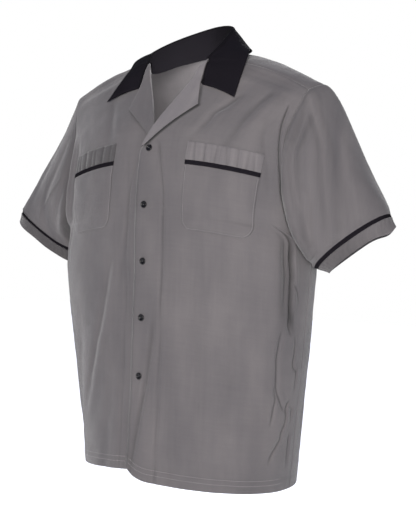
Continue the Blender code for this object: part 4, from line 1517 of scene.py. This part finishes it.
def sleeve_point(side, angles, t):
    """Points of the sleeve, t running from the armhole to the cuff."""
    angles, t = np.broadcast_arrays(np.asarray(angles, float), np.asarray(t, float))
    whole = np.mod(angles, 360)
    mirror = np.array([SIDE[side], 1.0, 1.0])
    start = armhole_point(side, angles)
    end = end_ring(CUFF_RING[side], side, angles)
    leave = unit(SLEEVE_LEAVE.point(whole)) * mirror
    low = np.sqrt(np.clip(-np.cos(np.radians(angles)), 0, 1))
    pull = (SLEEVE_LEAVE.at("pull", whole) * (1 - (1 - SLEEVE_FORM[side]["under"]) * low))[..., None]
    arrive = unit(end_ring(BAND_RING[side], side, angles) - end)
    arrive = arrive * SLEEVE_LEAVE.at("arrive", whole)[..., None]
    top = np.clip(np.cos(np.radians(angles)), 0, 1)[..., None] * np.array(SLEEVE_OUT) * mirror
    seam = unit(armhole_point(side, angles + 6) - armhole_point(side, angles - 6))
    away = unit(leave - seam * np.sum(leave * seam, axis=-1, keepdims=True))
    start = start + away * SLEEVE_LEAVE.at("gap", whole)[..., None]
    t = t[..., None]
    point = start * (2 * t**3 - 3 * t**2 + 1) + end * (3 * t**2 - 2 * t**3)
    point = point + leave * pull * (t**3 - 2 * t**2 + t) + arrive * (t**3 - t**2)
    cap = SLEEVE_FORM[side]["cap"] * t * (1 - t) ** 4 / CAP_PEAK
    sag = SLEEVE_FORM[side]["sag"] * 4 * t * (1 - t)
    return point + top * (cap - sag)


SLEEVE_ANGLES = np.linspace(180, 540, 181)
SLEEVE_STEPS = joined((0, 0.06, 9), (0.06, 0.97, 70), (0.97, 1, 5))
SLEEVE_SHADE = {"left": 6.0, "right": 26.0}
UNDERARM_SHADE = 0.60
CUFF_EASE = 14.0
SEAM_EASE = 6.0


def sleeve_sheet(side):
    angle = np.repeat(SLEEVE_ANGLES[None, :], len(SLEEVE_STEPS), axis=0)
    t = np.repeat(SLEEVE_STEPS[:, None], len(SLEEVE_ANGLES), axis=1)
    points = sleeve_point(side, angle, t)
    normals = grid_normals(points) * -SIDE[side]
    move = dent(points, normals, lambda a, b: sleeve_point(side, a, b), SLEEVE_FOLDS[side])
    move = move + loosened(points)
    from_seam = run_length(points, 0)
    from_cuff = from_seam[-1:] - from_seam
    ease = smooth_step(from_cuff / CUFF_EASE)
    tuck = smooth_step(from_seam / SEAM_EASE)
    move = move * ease * tuck + seam_dip(from_seam, depth=0.35, reach=2.0) + seam_dip(from_cuff, depth=0.5)
    move[:, -1] = move[:, 0]
    moved = points + normals * move[..., None]
    low = np.sqrt(np.clip(0.45 - 0.55 * np.cos(np.radians(angle)), 0, 1)) * (np.sin(np.radians(angle)) > 0)
    shade = UNDERARM_SHADE * low * bell(from_seam, SLEEVE_SHADE[side])
    return (moved, run_length(points, 1), -from_seam), shade


# %% The sleeve's end: piping and turned band
PIPING_CLEAR = 0.2
PIPING_SPAN = {
    "left": (PIPING_CLEAR, PIPING_WIDTH - PIPING_CLEAR, 1.0),
    "right": (-2.6, PIPING_WIDTH + 1.4, 1.7),
}
BAND_SHADE = {
    "left": Table(
        "angle shade",
        (0, 0.06),
        (22, 0.08),
        (38, 0.0),
        (58, 0.0),
        (70, 0.12),
        (84, 0.24),
        (180, 0.24),
        (360, 0.06),
    ),
    "right": Table("angle shade", (0, 0.0), (360, 0.0)),
}


def sleeve_end(side):
    """The cuff's ring, the way out from it, the depth to the band's edge and the way up."""
    cuff = end_ring(CUFF_RING[side], side, SLEEVE_ANGLES)
    band = end_ring(BAND_RING[side], side, SLEEVE_ANGLES)
    way = unit(band - cuff)
    depth = np.linalg.norm(band - cuff, axis=-1, keepdims=True)
    round_way = unit(np.gradient(cuff, axis=0))
    return cuff, way, depth, unit(np.cross(round_way, way)) * SIDE[side] * -1.0


def tube_sheet(rings):
    """Rings as a sheet whose last column meets its first."""
    rings = np.array(rings)
    rings[:, -1] = rings[:, 0]
    return rings, run_length(rings, 1), -run_length(rings, 0)


def piping_sheet(side):
    """The piping's rounded strip round the cuff."""
    cuff, way, _, out = sleeve_end(side)
    start, end, thick = PIPING_SPAN[side]
    rings = []
    for t in np.linspace(0, 1, 13):
        rings.append(cuff + way * (start + (end - start) * t) + out * piping_swell(t, 0.35) * thick)
    return tube_sheet(rings)


def band_sheet(side):
    """A turned band with small ribs that fade towards its free edge."""
    cuff, way, depth, out = sleeve_end(side)
    along = run_length(cuff[None], 1)[0]
    ribs = np.sin(along / 1.35 + 2 * np.sin(along / 19)) * (0.5 + 0.5 * np.sin(along / 23.0))
    start = way * (PIPING_WIDTH + PIPING_CLEAR)
    rings = []
    for t in np.linspace(0, 1, 15):
        swell = 0.5 * math.sin(math.pi * t) + 0.30 * ribs * (1 - 0.7 * t)
        swell = swell + waves(cuff, 31, 46.0, 0.5) * t
        rings.append(cuff + start + (depth - PIPING_WIDTH - PIPING_CLEAR) * way * t + out * swell[:, None])
    return tube_sheet(rings)


# %% The cloth of the sleeves
sleeves, bands, pipings = {}, {}, {}
for side in SIDE:
    flip = side == "left"
    sheet, shade = sleeve_sheet(side)
    sleeves[side] = make_cloth("sleeve_" + side + "_cloth", [sheet], grey_cloth, flip=flip, shades=[shade])
    name = "sleeve_piping_" + side + "_cloth"
    pipings[side] = make_cloth(name, [piping_sheet(side)], black_cloth, flip=flip, wall=1.2)
    name = "sleeve_band_" + side + "_cloth"
    sheet = band_sheet(side)
    shade = np.tile(BAND_SHADE[side].at("shade", SLEEVE_ANGLES % 360), (len(sheet[0]), 1))
    # The right band's grey carries painted shade.
    finish = grey_turned if side == "left" else grey_shaded
    bands[side] = make_cloth(name, [sheet], finish, flip=flip, wall=1.3, shades=[shade])

# %% [markdown]
# ## Pockets
# Each chest pocket is a patch with rounded bottom corners, black piping and a band
# cut across the grain, which puckers over the piping. The left band's grey carries
# painted light and the right band's painted shade, for how the light falls on each.
# They follow the chest's own surface, lifted off it.


# %% Pockets
def pocket_edges(side, level):
    """Inner and outer distance from the centre, with rounded bottom corners."""
    t = (POCKET_PIPING_TOP - level) / (POCKET_PIPING_TOP - POCKET_BOTTOM)
    top, bottom = POCKET_OUTER_TOP[side], POCKET_OUTER_BOTTOM[side]
    outer = top + (bottom - top) * np.clip(t, -0.3, 1)
    above = np.clip(level - POCKET_BOTTOM, 0, POCKET_CORNER)
    cut = POCKET_CORNER - np.sqrt(POCKET_CORNER**2 - (POCKET_CORNER - above) ** 2)
    return POCKET_INNER[side] + cut, outer - cut


def pocket_sheet(side, levels, columns, lift):
    """lift is a function of level, x and the distances to the edges."""
    inner, outer = pocket_edges(side, levels)
    x = inner[:, None] + (outer - inner)[:, None] * columns[None, :]
    level = np.repeat(levels[:, None], len(columns), axis=1)
    points, normals, move = cloth_move("front", side, level, x)
    edge = np.minimum(x - inner[:, None], outer[:, None] - x)
    move = move + lift(level, x, edge)
    moved = points + normals * move[..., None]
    return moved, x * SIDE[side], level


def patch_lift(level, x, edge):
    low = np.minimum(edge, level - POCKET_BOTTOM)
    groove = -0.35 * bell(low - 2.2, 1.1)
    puff = 1.0 * smooth_step(low / 22.0)
    return 1.15 + groove + puff * smooth_step((POCKET_PIPING_TOP - 8 - level) / 14.0)


BAND_PUCKERS = {
    "left": (88.0, 104.0, 121.0, 142.0, 158.0, 172.0, 184.0),
    "right": (90.0, 108.0, 127.0, 139.0, 156.0, 171.0, 181.0),
}
PUCKER_DEPTHS = (0.8, 1.25, 0.95)


def band_lift(side):
    def lift(level, x, edge):
        t = (level - POCKET_PIPING_TOP) / (POCKET_TOP - POCKET_PIPING_TOP)
        total = 1.15 + 0.8 * np.sin(math.pi * np.clip(t, 0, 1)) * smooth_step(edge / 8.0)
        for number, middle in enumerate(BAND_PUCKERS[side]):
            lean = middle + (number % 3 - 1) * 2.5 * t
            deep = PUCKER_DEPTHS[number % 3]
            total = total - deep * bell(x - lean, 3.4) * (1 - 0.35 * t)
        return total

    return lift


def piping_lift(level, x, edge):
    t = (level - POCKET_PIPING_TOP) / POCKET_PIPING + 1
    return 1.3 + piping_swell(t, 0.4)


POCKET_COLUMNS = np.linspace(0, 1, 56)
PIPING_LOW = POCKET_PIPING_TOP - POCKET_PIPING
CORNER_LEVELS = POCKET_BOTTOM + POCKET_CORNER * np.linspace(0, 1, 16)[:-1] ** 2
PATCH_LEVELS = np.append(CORNER_LEVELS, np.linspace(POCKET_BOTTOM + POCKET_CORNER, PIPING_LOW - 0.1, 36))
STRIP_LEVELS = np.linspace(PIPING_LOW - 0.4, POCKET_PIPING_TOP + 0.4, 13)
BAND_LEVELS = np.linspace(POCKET_PIPING_TOP + 0.1, POCKET_TOP, 20)
BAND_COLUMNS = np.linspace(0, 1, 90)
pocket_parts = {}
for side in SIDE:
    # The left band's grey carries painted light, the right band's painted shade.
    band_finish = grey_band_painted_light if side == "left" else grey_shaded
    kinds = (
        ("pocket", PATCH_LEVELS, POCKET_COLUMNS, patch_lift, grey_cloth, 0.8),
        ("pocket_piping", STRIP_LEVELS, POCKET_COLUMNS, piping_lift, black_cloth, 1.0),
        ("pocket_band", BAND_LEVELS, BAND_COLUMNS, band_lift(side), band_finish, 0.9),
    )
    pocket_parts[side] = {}
    for kind, levels, columns, lift, finish, wall in kinds:
        sheet = pocket_sheet(side, levels, columns, lift)
        name = kind + "_" + side + "_cloth"
        pocket_parts[side][kind] = make_cloth(name, [sheet], finish, flip=side == "right", wall=wall)

# %% [markdown]
# ## Standing in for the CAD parts
# Each piece hides the solid it stands for, and prints its area beside the area taken for its cut.
# The flat sizes are estimates of the pattern pieces, width by length, with the area
# where it isn't their product. The large pieces measure 0.9 to 1.2 times the stated
# area. The pipings and the sleeves' bands measure 1.3 to 1.6 times it, and the right
# sleeve's piping has the larger area because it is made wider here.

# %% What each piece stands for
PIPING_AREA = {"left": 0.0021, "right": 0.0031}
POCKET_CUTS = (
    ("pocket", "grey_cloth", (0.118, 0.107), 0.0120, "draped"),
    ("pocket_piping", "black_cloth", (0.118, 0.012), 0.0007, "stretched"),
    ("pocket_band", "grey_cloth", (0.119, 0.031), None, "draped"),
)
dress(back, "back", (0.720, 0.810), area=0.421)
dress(collar, "collar", (0.460, 0.120), area=0.041)
for side in SIDE:
    dress(fronts[side], "front_" + side, (0.345, 0.745), area=0.203)
    dress(lapels[side], "lapel_" + side, (0.075, 0.155), area=0.0050)
    dress(sleeves[side], "sleeve_" + side, (0.540, 0.230), area=0.0630)
    area = PIPING_AREA[side]
    dress(pipings[side], "sleeve_piping_" + side, (0.330, 0.012), area=area)
    dress(bands[side], "sleeve_band_" + side, (0.330, 0.017))
    for kind, slot, flat, area, held in POCKET_CUTS:
        dress(pocket_parts[side][kind], kind + "_" + side, flat, area=area)
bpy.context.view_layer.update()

# %% [markdown]
# ## Buttons
# Shirt buttons of this size are turned or moulded with a raised rim, a shallow
# dish and four holes. Each is sewn through the left front with thread that crosses
# between the holes. The disc is turned from a profile, and the holes are bored by
# a Boolean modifier, so the rim of each hole is crisp.

# %% Buttons
BUTTON_PROFILE = (
    (0.0, 1.25),
    (2.5, 1.25),
    (3.1, 1.40),
    (3.7, 2.05),
    (4.5, 2.35),
    (5.2, 2.15),
    (5.65, 1.60),
    (5.8, 0.95),
    (5.5, 0.35),
    (4.6, 0.0),
    (0.0, 0.0),
)
BUTTON_SIDES = 48
HOLE_RADIUS = 0.62
HOLE_SPREAD = 1.05
BUTTON_STAND = 0.75
BUTTON_SPINS = (12, -7, 31, 4, -16)
THREAD_RADIUS = 0.19
THREAD_APART = 0.16
THREAD_BASE = 1.25
THREAD_ARCH = 0.42
THREAD_DIP = 0.35
RIM_FACE = 1.5e-6


def meshed(built, name):
    """A mesh from a working one, which is freed."""
    mesh = bpy.data.meshes.new(name)
    built.to_mesh(mesh)
    built.free()
    return mesh


def add_cone(built, sides, low, high, depth, middle):
    """A closed cone round Z with these two radii, in millimetres."""
    sizes = {"segments": sides, "radius1": low * MM, "radius2": high * MM, "depth": depth * MM}
    made = bmesh.ops.create_cone(built, cap_ends=True, **sizes)
    bmesh.ops.translate(built, verts=made["verts"], vec=[v * MM for v in middle])


def turned_disc(name, profile, sides):
    """A closed mesh turned round Z from (radius, height) pairs, in metres."""
    built = bmesh.new()
    rings = []
    turns = [2 * math.pi * k / sides for k in range(sides)]
    for radius, height in profile[1:-1]:
        ring = [(radius * math.cos(a) * MM, radius * math.sin(a) * MM, height * MM) for a in turns]
        rings.append([built.verts.new(p) for p in ring])
    for low, high in zip(rings, rings[1:]):
        for k in range(sides):
            built.faces.new((low[k], high[k], high[(k + 1) % sides], low[(k + 1) % sides]))
    built.faces.new(rings[0])
    built.faces.new(rings[-1][::-1])
    bmesh.ops.recalc_face_normals(built, faces=built.faces)
    return meshed(built, name)


def bored(mesh):
    """The same mesh with four sewing holes."""
    disc = put("disc", mesh)
    holes = bmesh.new()
    for turn in (45, 135, 225, 315):
        x = HOLE_SPREAD * math.cos(math.radians(turn))
        y = HOLE_SPREAD * math.sin(math.radians(turn))
        add_cone(holes, 16, HOLE_RADIUS, HOLE_RADIUS, 8, (x, y, 0.0))
    tool = put("holes", meshed(holes, "holes"))
    cut = disc.modifiers.new("Holes", "BOOLEAN")
    cut.operation = "DIFFERENCE"
    cut.solver = "EXACT"
    cut.object = tool
    graph = bpy.context.evaluated_depsgraph_get()
    result = bpy.data.meshes.new_from_object(disc.evaluated_get(graph))
    bpy.data.objects.remove(disc)
    bpy.data.objects.remove(tool)
    return result


def thread_mesh(name):
    """Two pairs of strands that cross between the holes, and the shank under the disc."""
    built = bmesh.new()
    for turn in (45, 135):
        for shift in (-THREAD_APART, THREAD_APART):
            way = np.array([math.cos(math.radians(turn)), math.sin(math.radians(turn))])
            side_way = np.array([-way[1], way[0]])
            previous = None
            for t in np.linspace(-1, 1, 9):
                middle = way * HOLE_SPREAD * 1.1 * t + side_way * shift
                height = THREAD_BASE + THREAD_ARCH * (1 - t * t) ** 0.5 - THREAD_DIP * t**8
                ring = []
                for a in np.linspace(0, 2 * math.pi, 7)[:-1]:
                    across = middle + side_way * THREAD_RADIUS * math.cos(a)
                    at = (across[0], across[1], height + THREAD_RADIUS * math.sin(a))
                    ring.append(built.verts.new([v * MM for v in at]))
                if previous:
                    for k in range(6):
                        corners = (previous[k], previous[(k + 1) % 6], ring[(k + 1) % 6], ring[k])
                        built.faces.new(corners)
                previous = ring
    add_cone(built, 12, 1.5, 1.3, 1.4, (0.0, 0.0, -0.35))
    bmesh.ops.recalc_face_normals(built, faces=built.faces)
    return meshed(built, name)


def button_place(number):
    """A matrix that seats a button on the left front, a little turned."""
    level = np.array([FIRST_BUTTON_LEVEL - BUTTON_PITCH * number])
    point = on_cloth("front", "left", level, np.array([0.0]), SHELL / 2 + BUTTON_STAND)[0]
    normal = cloth_normal("front", "left", level, np.array([0.0]))[0]
    turn = Vector(normal).to_track_quat("Z", "Y").to_matrix().to_4x4()
    spin = Matrix.Rotation(math.radians(BUTTON_SPINS[number]), 4, "Z")
    return Matrix.Translation(Vector(point * MM)) @ turn @ spin


disc_mesh = bored(turned_disc("button", BUTTON_PROFILE, BUTTON_SIDES))
disc_mesh.materials.clear()
disc_mesh.materials.append(button_plastic)
sewing_mesh = thread_mesh("button thread")
sewing_mesh.materials.append(black_thread)
for number in range(BUTTON_COUNT):
    for mesh, part in ((disc_mesh, "disc"), (sewing_mesh, "thread")):
        mesh = mesh.copy()
        mesh.transform(button_place(number))
        made = put("button_" + str(number + 1) + "_" + part, mesh)
        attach(made, "root")
        if part == "disc":
            for face in mesh.polygons:
                face.use_smooth = face.area < RIM_FACE
            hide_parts("button_" + str(number + 1))
print("button triangles:", sum(len(f.vertices) - 2 for f in disc_mesh.polygons))

# %% [markdown]
# ## Sewing lines
# The lines that show are the turned hem's two rows and the sides and bottom of the
# pockets. They follow the creased cloth, so they are read from it half a millimetre
# to one millimetre above its middle at the hem, and 1.4 millimetres on the pockets.

# %% Sewing lines
HEM_ROWS = ((HEM_DEPTH, 0.0), (HEM_DEPTH - 8.0, HEM_LAYER))
SEAM_INSET = 2.2
POCKET_THREAD_LIFT = 1.4
HEM_START = {"left": -OVERLAP + 4, "right": 24.0}
grey_lines = []
for side in SIDE:
    for row, layer in HEM_ROWS:
        lift = THREAD_LIFT + layer
        for panel, start in (("front", HEM_START[side]), ("back", 0.0)):
            level = HEM_LEVEL + row
            x = np.linspace(start, outer_end(panel, np.array(level))[0] - 2, 320)
            grey_lines.append(sewn_line(panel, side, np.full_like(x, level), x, lift))
    levels = np.linspace(PIPING_LOW - 1.0, POCKET_BOTTOM + SEAM_INSET, 120)
    inner, outer = pocket_edges(side, levels)
    bottom = np.linspace(inner[-1] + SEAM_INSET, outer[-1] - SEAM_INSET, 60)
    path_levels = np.concatenate([levels, np.full(60, POCKET_BOTTOM + SEAM_INSET), levels[::-1]])
    path_xs = np.concatenate([inner + SEAM_INSET, bottom, (outer - SEAM_INSET)[::-1]])
    grey_lines.append(sewn_line("front", side, path_levels, path_xs, POCKET_THREAD_LIFT))
stitch_mesh("stitches_grey", grey_lines, grey_thread)

# %% [markdown]
# ## Camera and light
# The camera stands where the reference's would have stood if the shirt has the
# size given here: a long lens, 35 degrees round to the wearer's left, two metres
# off and level with the chest. The key light stands behind it and a weak one to its
# side. A lamp lights the back, a small one the inside of the neck, and the pale
# floor lies far below.

# %% Camera, floor and light
CAMERA_PLACE = (1.16513737, -1.66004822, -0.23057575)
CAMERA_TURN = 34.2065
CAMERA_TILT = 3.45636
CAMERA_LENS = 80.23
CHEST = (0.0, 0.0, -0.3)
FLOOR_LEVEL = -1.6
FLOOR_REACH = 9
FLOOR_WHITE = (0.93, 0.93, 0.93, 1.0)

camera_data = bpy.data.cameras.new("camera")
camera_data.lens = CAMERA_LENS
camera_data.sensor_width = 36.0
camera = put("camera", camera_data)
camera.location = CAMERA_PLACE
camera.rotation_euler = (math.radians(90 - CAMERA_TILT), 0.0, math.radians(CAMERA_TURN))
bpy.context.scene.camera = camera


def soft_light(name, place_at, aim, size, power):
    """A square area light that looks at a point."""
    data = bpy.data.lights.new(name, "AREA")
    data.shape = "SQUARE"
    data.size = size
    data.energy = power
    lamp = put(name, data)
    lamp.location = place_at
    lamp.rotation_mode = "QUATERNION"
    lamp.rotation_quaternion = (Vector(aim) - Vector(place_at)).to_track_quat("-Z", "Y")
    return lamp


key = soft_light("key", (1.30, -2.35, 0.20), CHEST, 0.95, 240.0)
fill = soft_light("fill", (2.5, -1.2, 0.5), CHEST, 1.4, 8.0)
behind = soft_light("back_fill", (-1.0, 2.7, 0.3), CHEST, 2.0, 75.0)
inner = soft_light("inside_lamp", (0.09, 0.0, -0.06), (-0.07, 0.09, 0.0), 0.06, 1.4)
key.data.color = (1.0, 0.975, 0.95)
fill.data.color = (0.96, 0.98, 1.0)

# %% [markdown]
# The room is white behind the shirt, as the reference's ground is. It is dimmer on
# the camera's side and bluer overhead, which gives the cloth its cool shadows.

# %% Room and floor
ROOM_WHITE = (1.0, 1.0, 1.0, 1.0)
ROOM_DIM = (0.42, 0.42, 0.46, 1.0)
ROOM_TOP = (0.27, 0.32, 0.51, 1.0)
world = bpy.data.worlds.new("light tent")
world.use_nodes = True
room = Graph(world.node_tree)
direction = room.node("ShaderNodeTexCoord")
back_way = room.node("ShaderNodeSeparateXYZ", {}, {0: direction}, output=1)
up_way = room.node("ShaderNodeSeparateXYZ", {}, {0: direction}, output=2)
smooth = {"interpolation_type": "SMOOTHSTEP"}
overhead = room.node("ShaderNodeMapRange", smooth, {"Value": up_way, "From Min": 0.20, "From Max": 0.75})
dim = room.node("ShaderNodeMapRange", smooth, {"Value": back_way, "From Min": 0.62, "From Max": 0.15})
tint = room.mix(overhead, room.mix(dim, ROOM_WHITE, ROOM_DIM), ROOM_TOP)
background = world.node_tree.nodes["Background"]
room.feed(background.inputs["Color"], tint)
room.feed(background.inputs["Strength"], 1.0)
bpy.context.scene.world = world
bpy.context.scene.view_settings.view_transform = "Standard"

floor_mesh = bpy.data.meshes.new("floor")
corners = [(x * FLOOR_REACH, y * FLOOR_REACH, FLOOR_LEVEL) for x, y in ((-1, -1), (1, -1), (1, 1), (-1, 1))]
floor_mesh.from_pydata(corners, [], [(0, 1, 2, 3)])
floor = put("floor", floor_mesh)
floor_paint = Finish("pale floor")
floor_paint.set(base_color=FLOOR_WHITE, roughness=0.9, emission_color=ROOM_WHITE, emission_strength=0.8)
floor_mesh.materials.append(floor_paint.material)
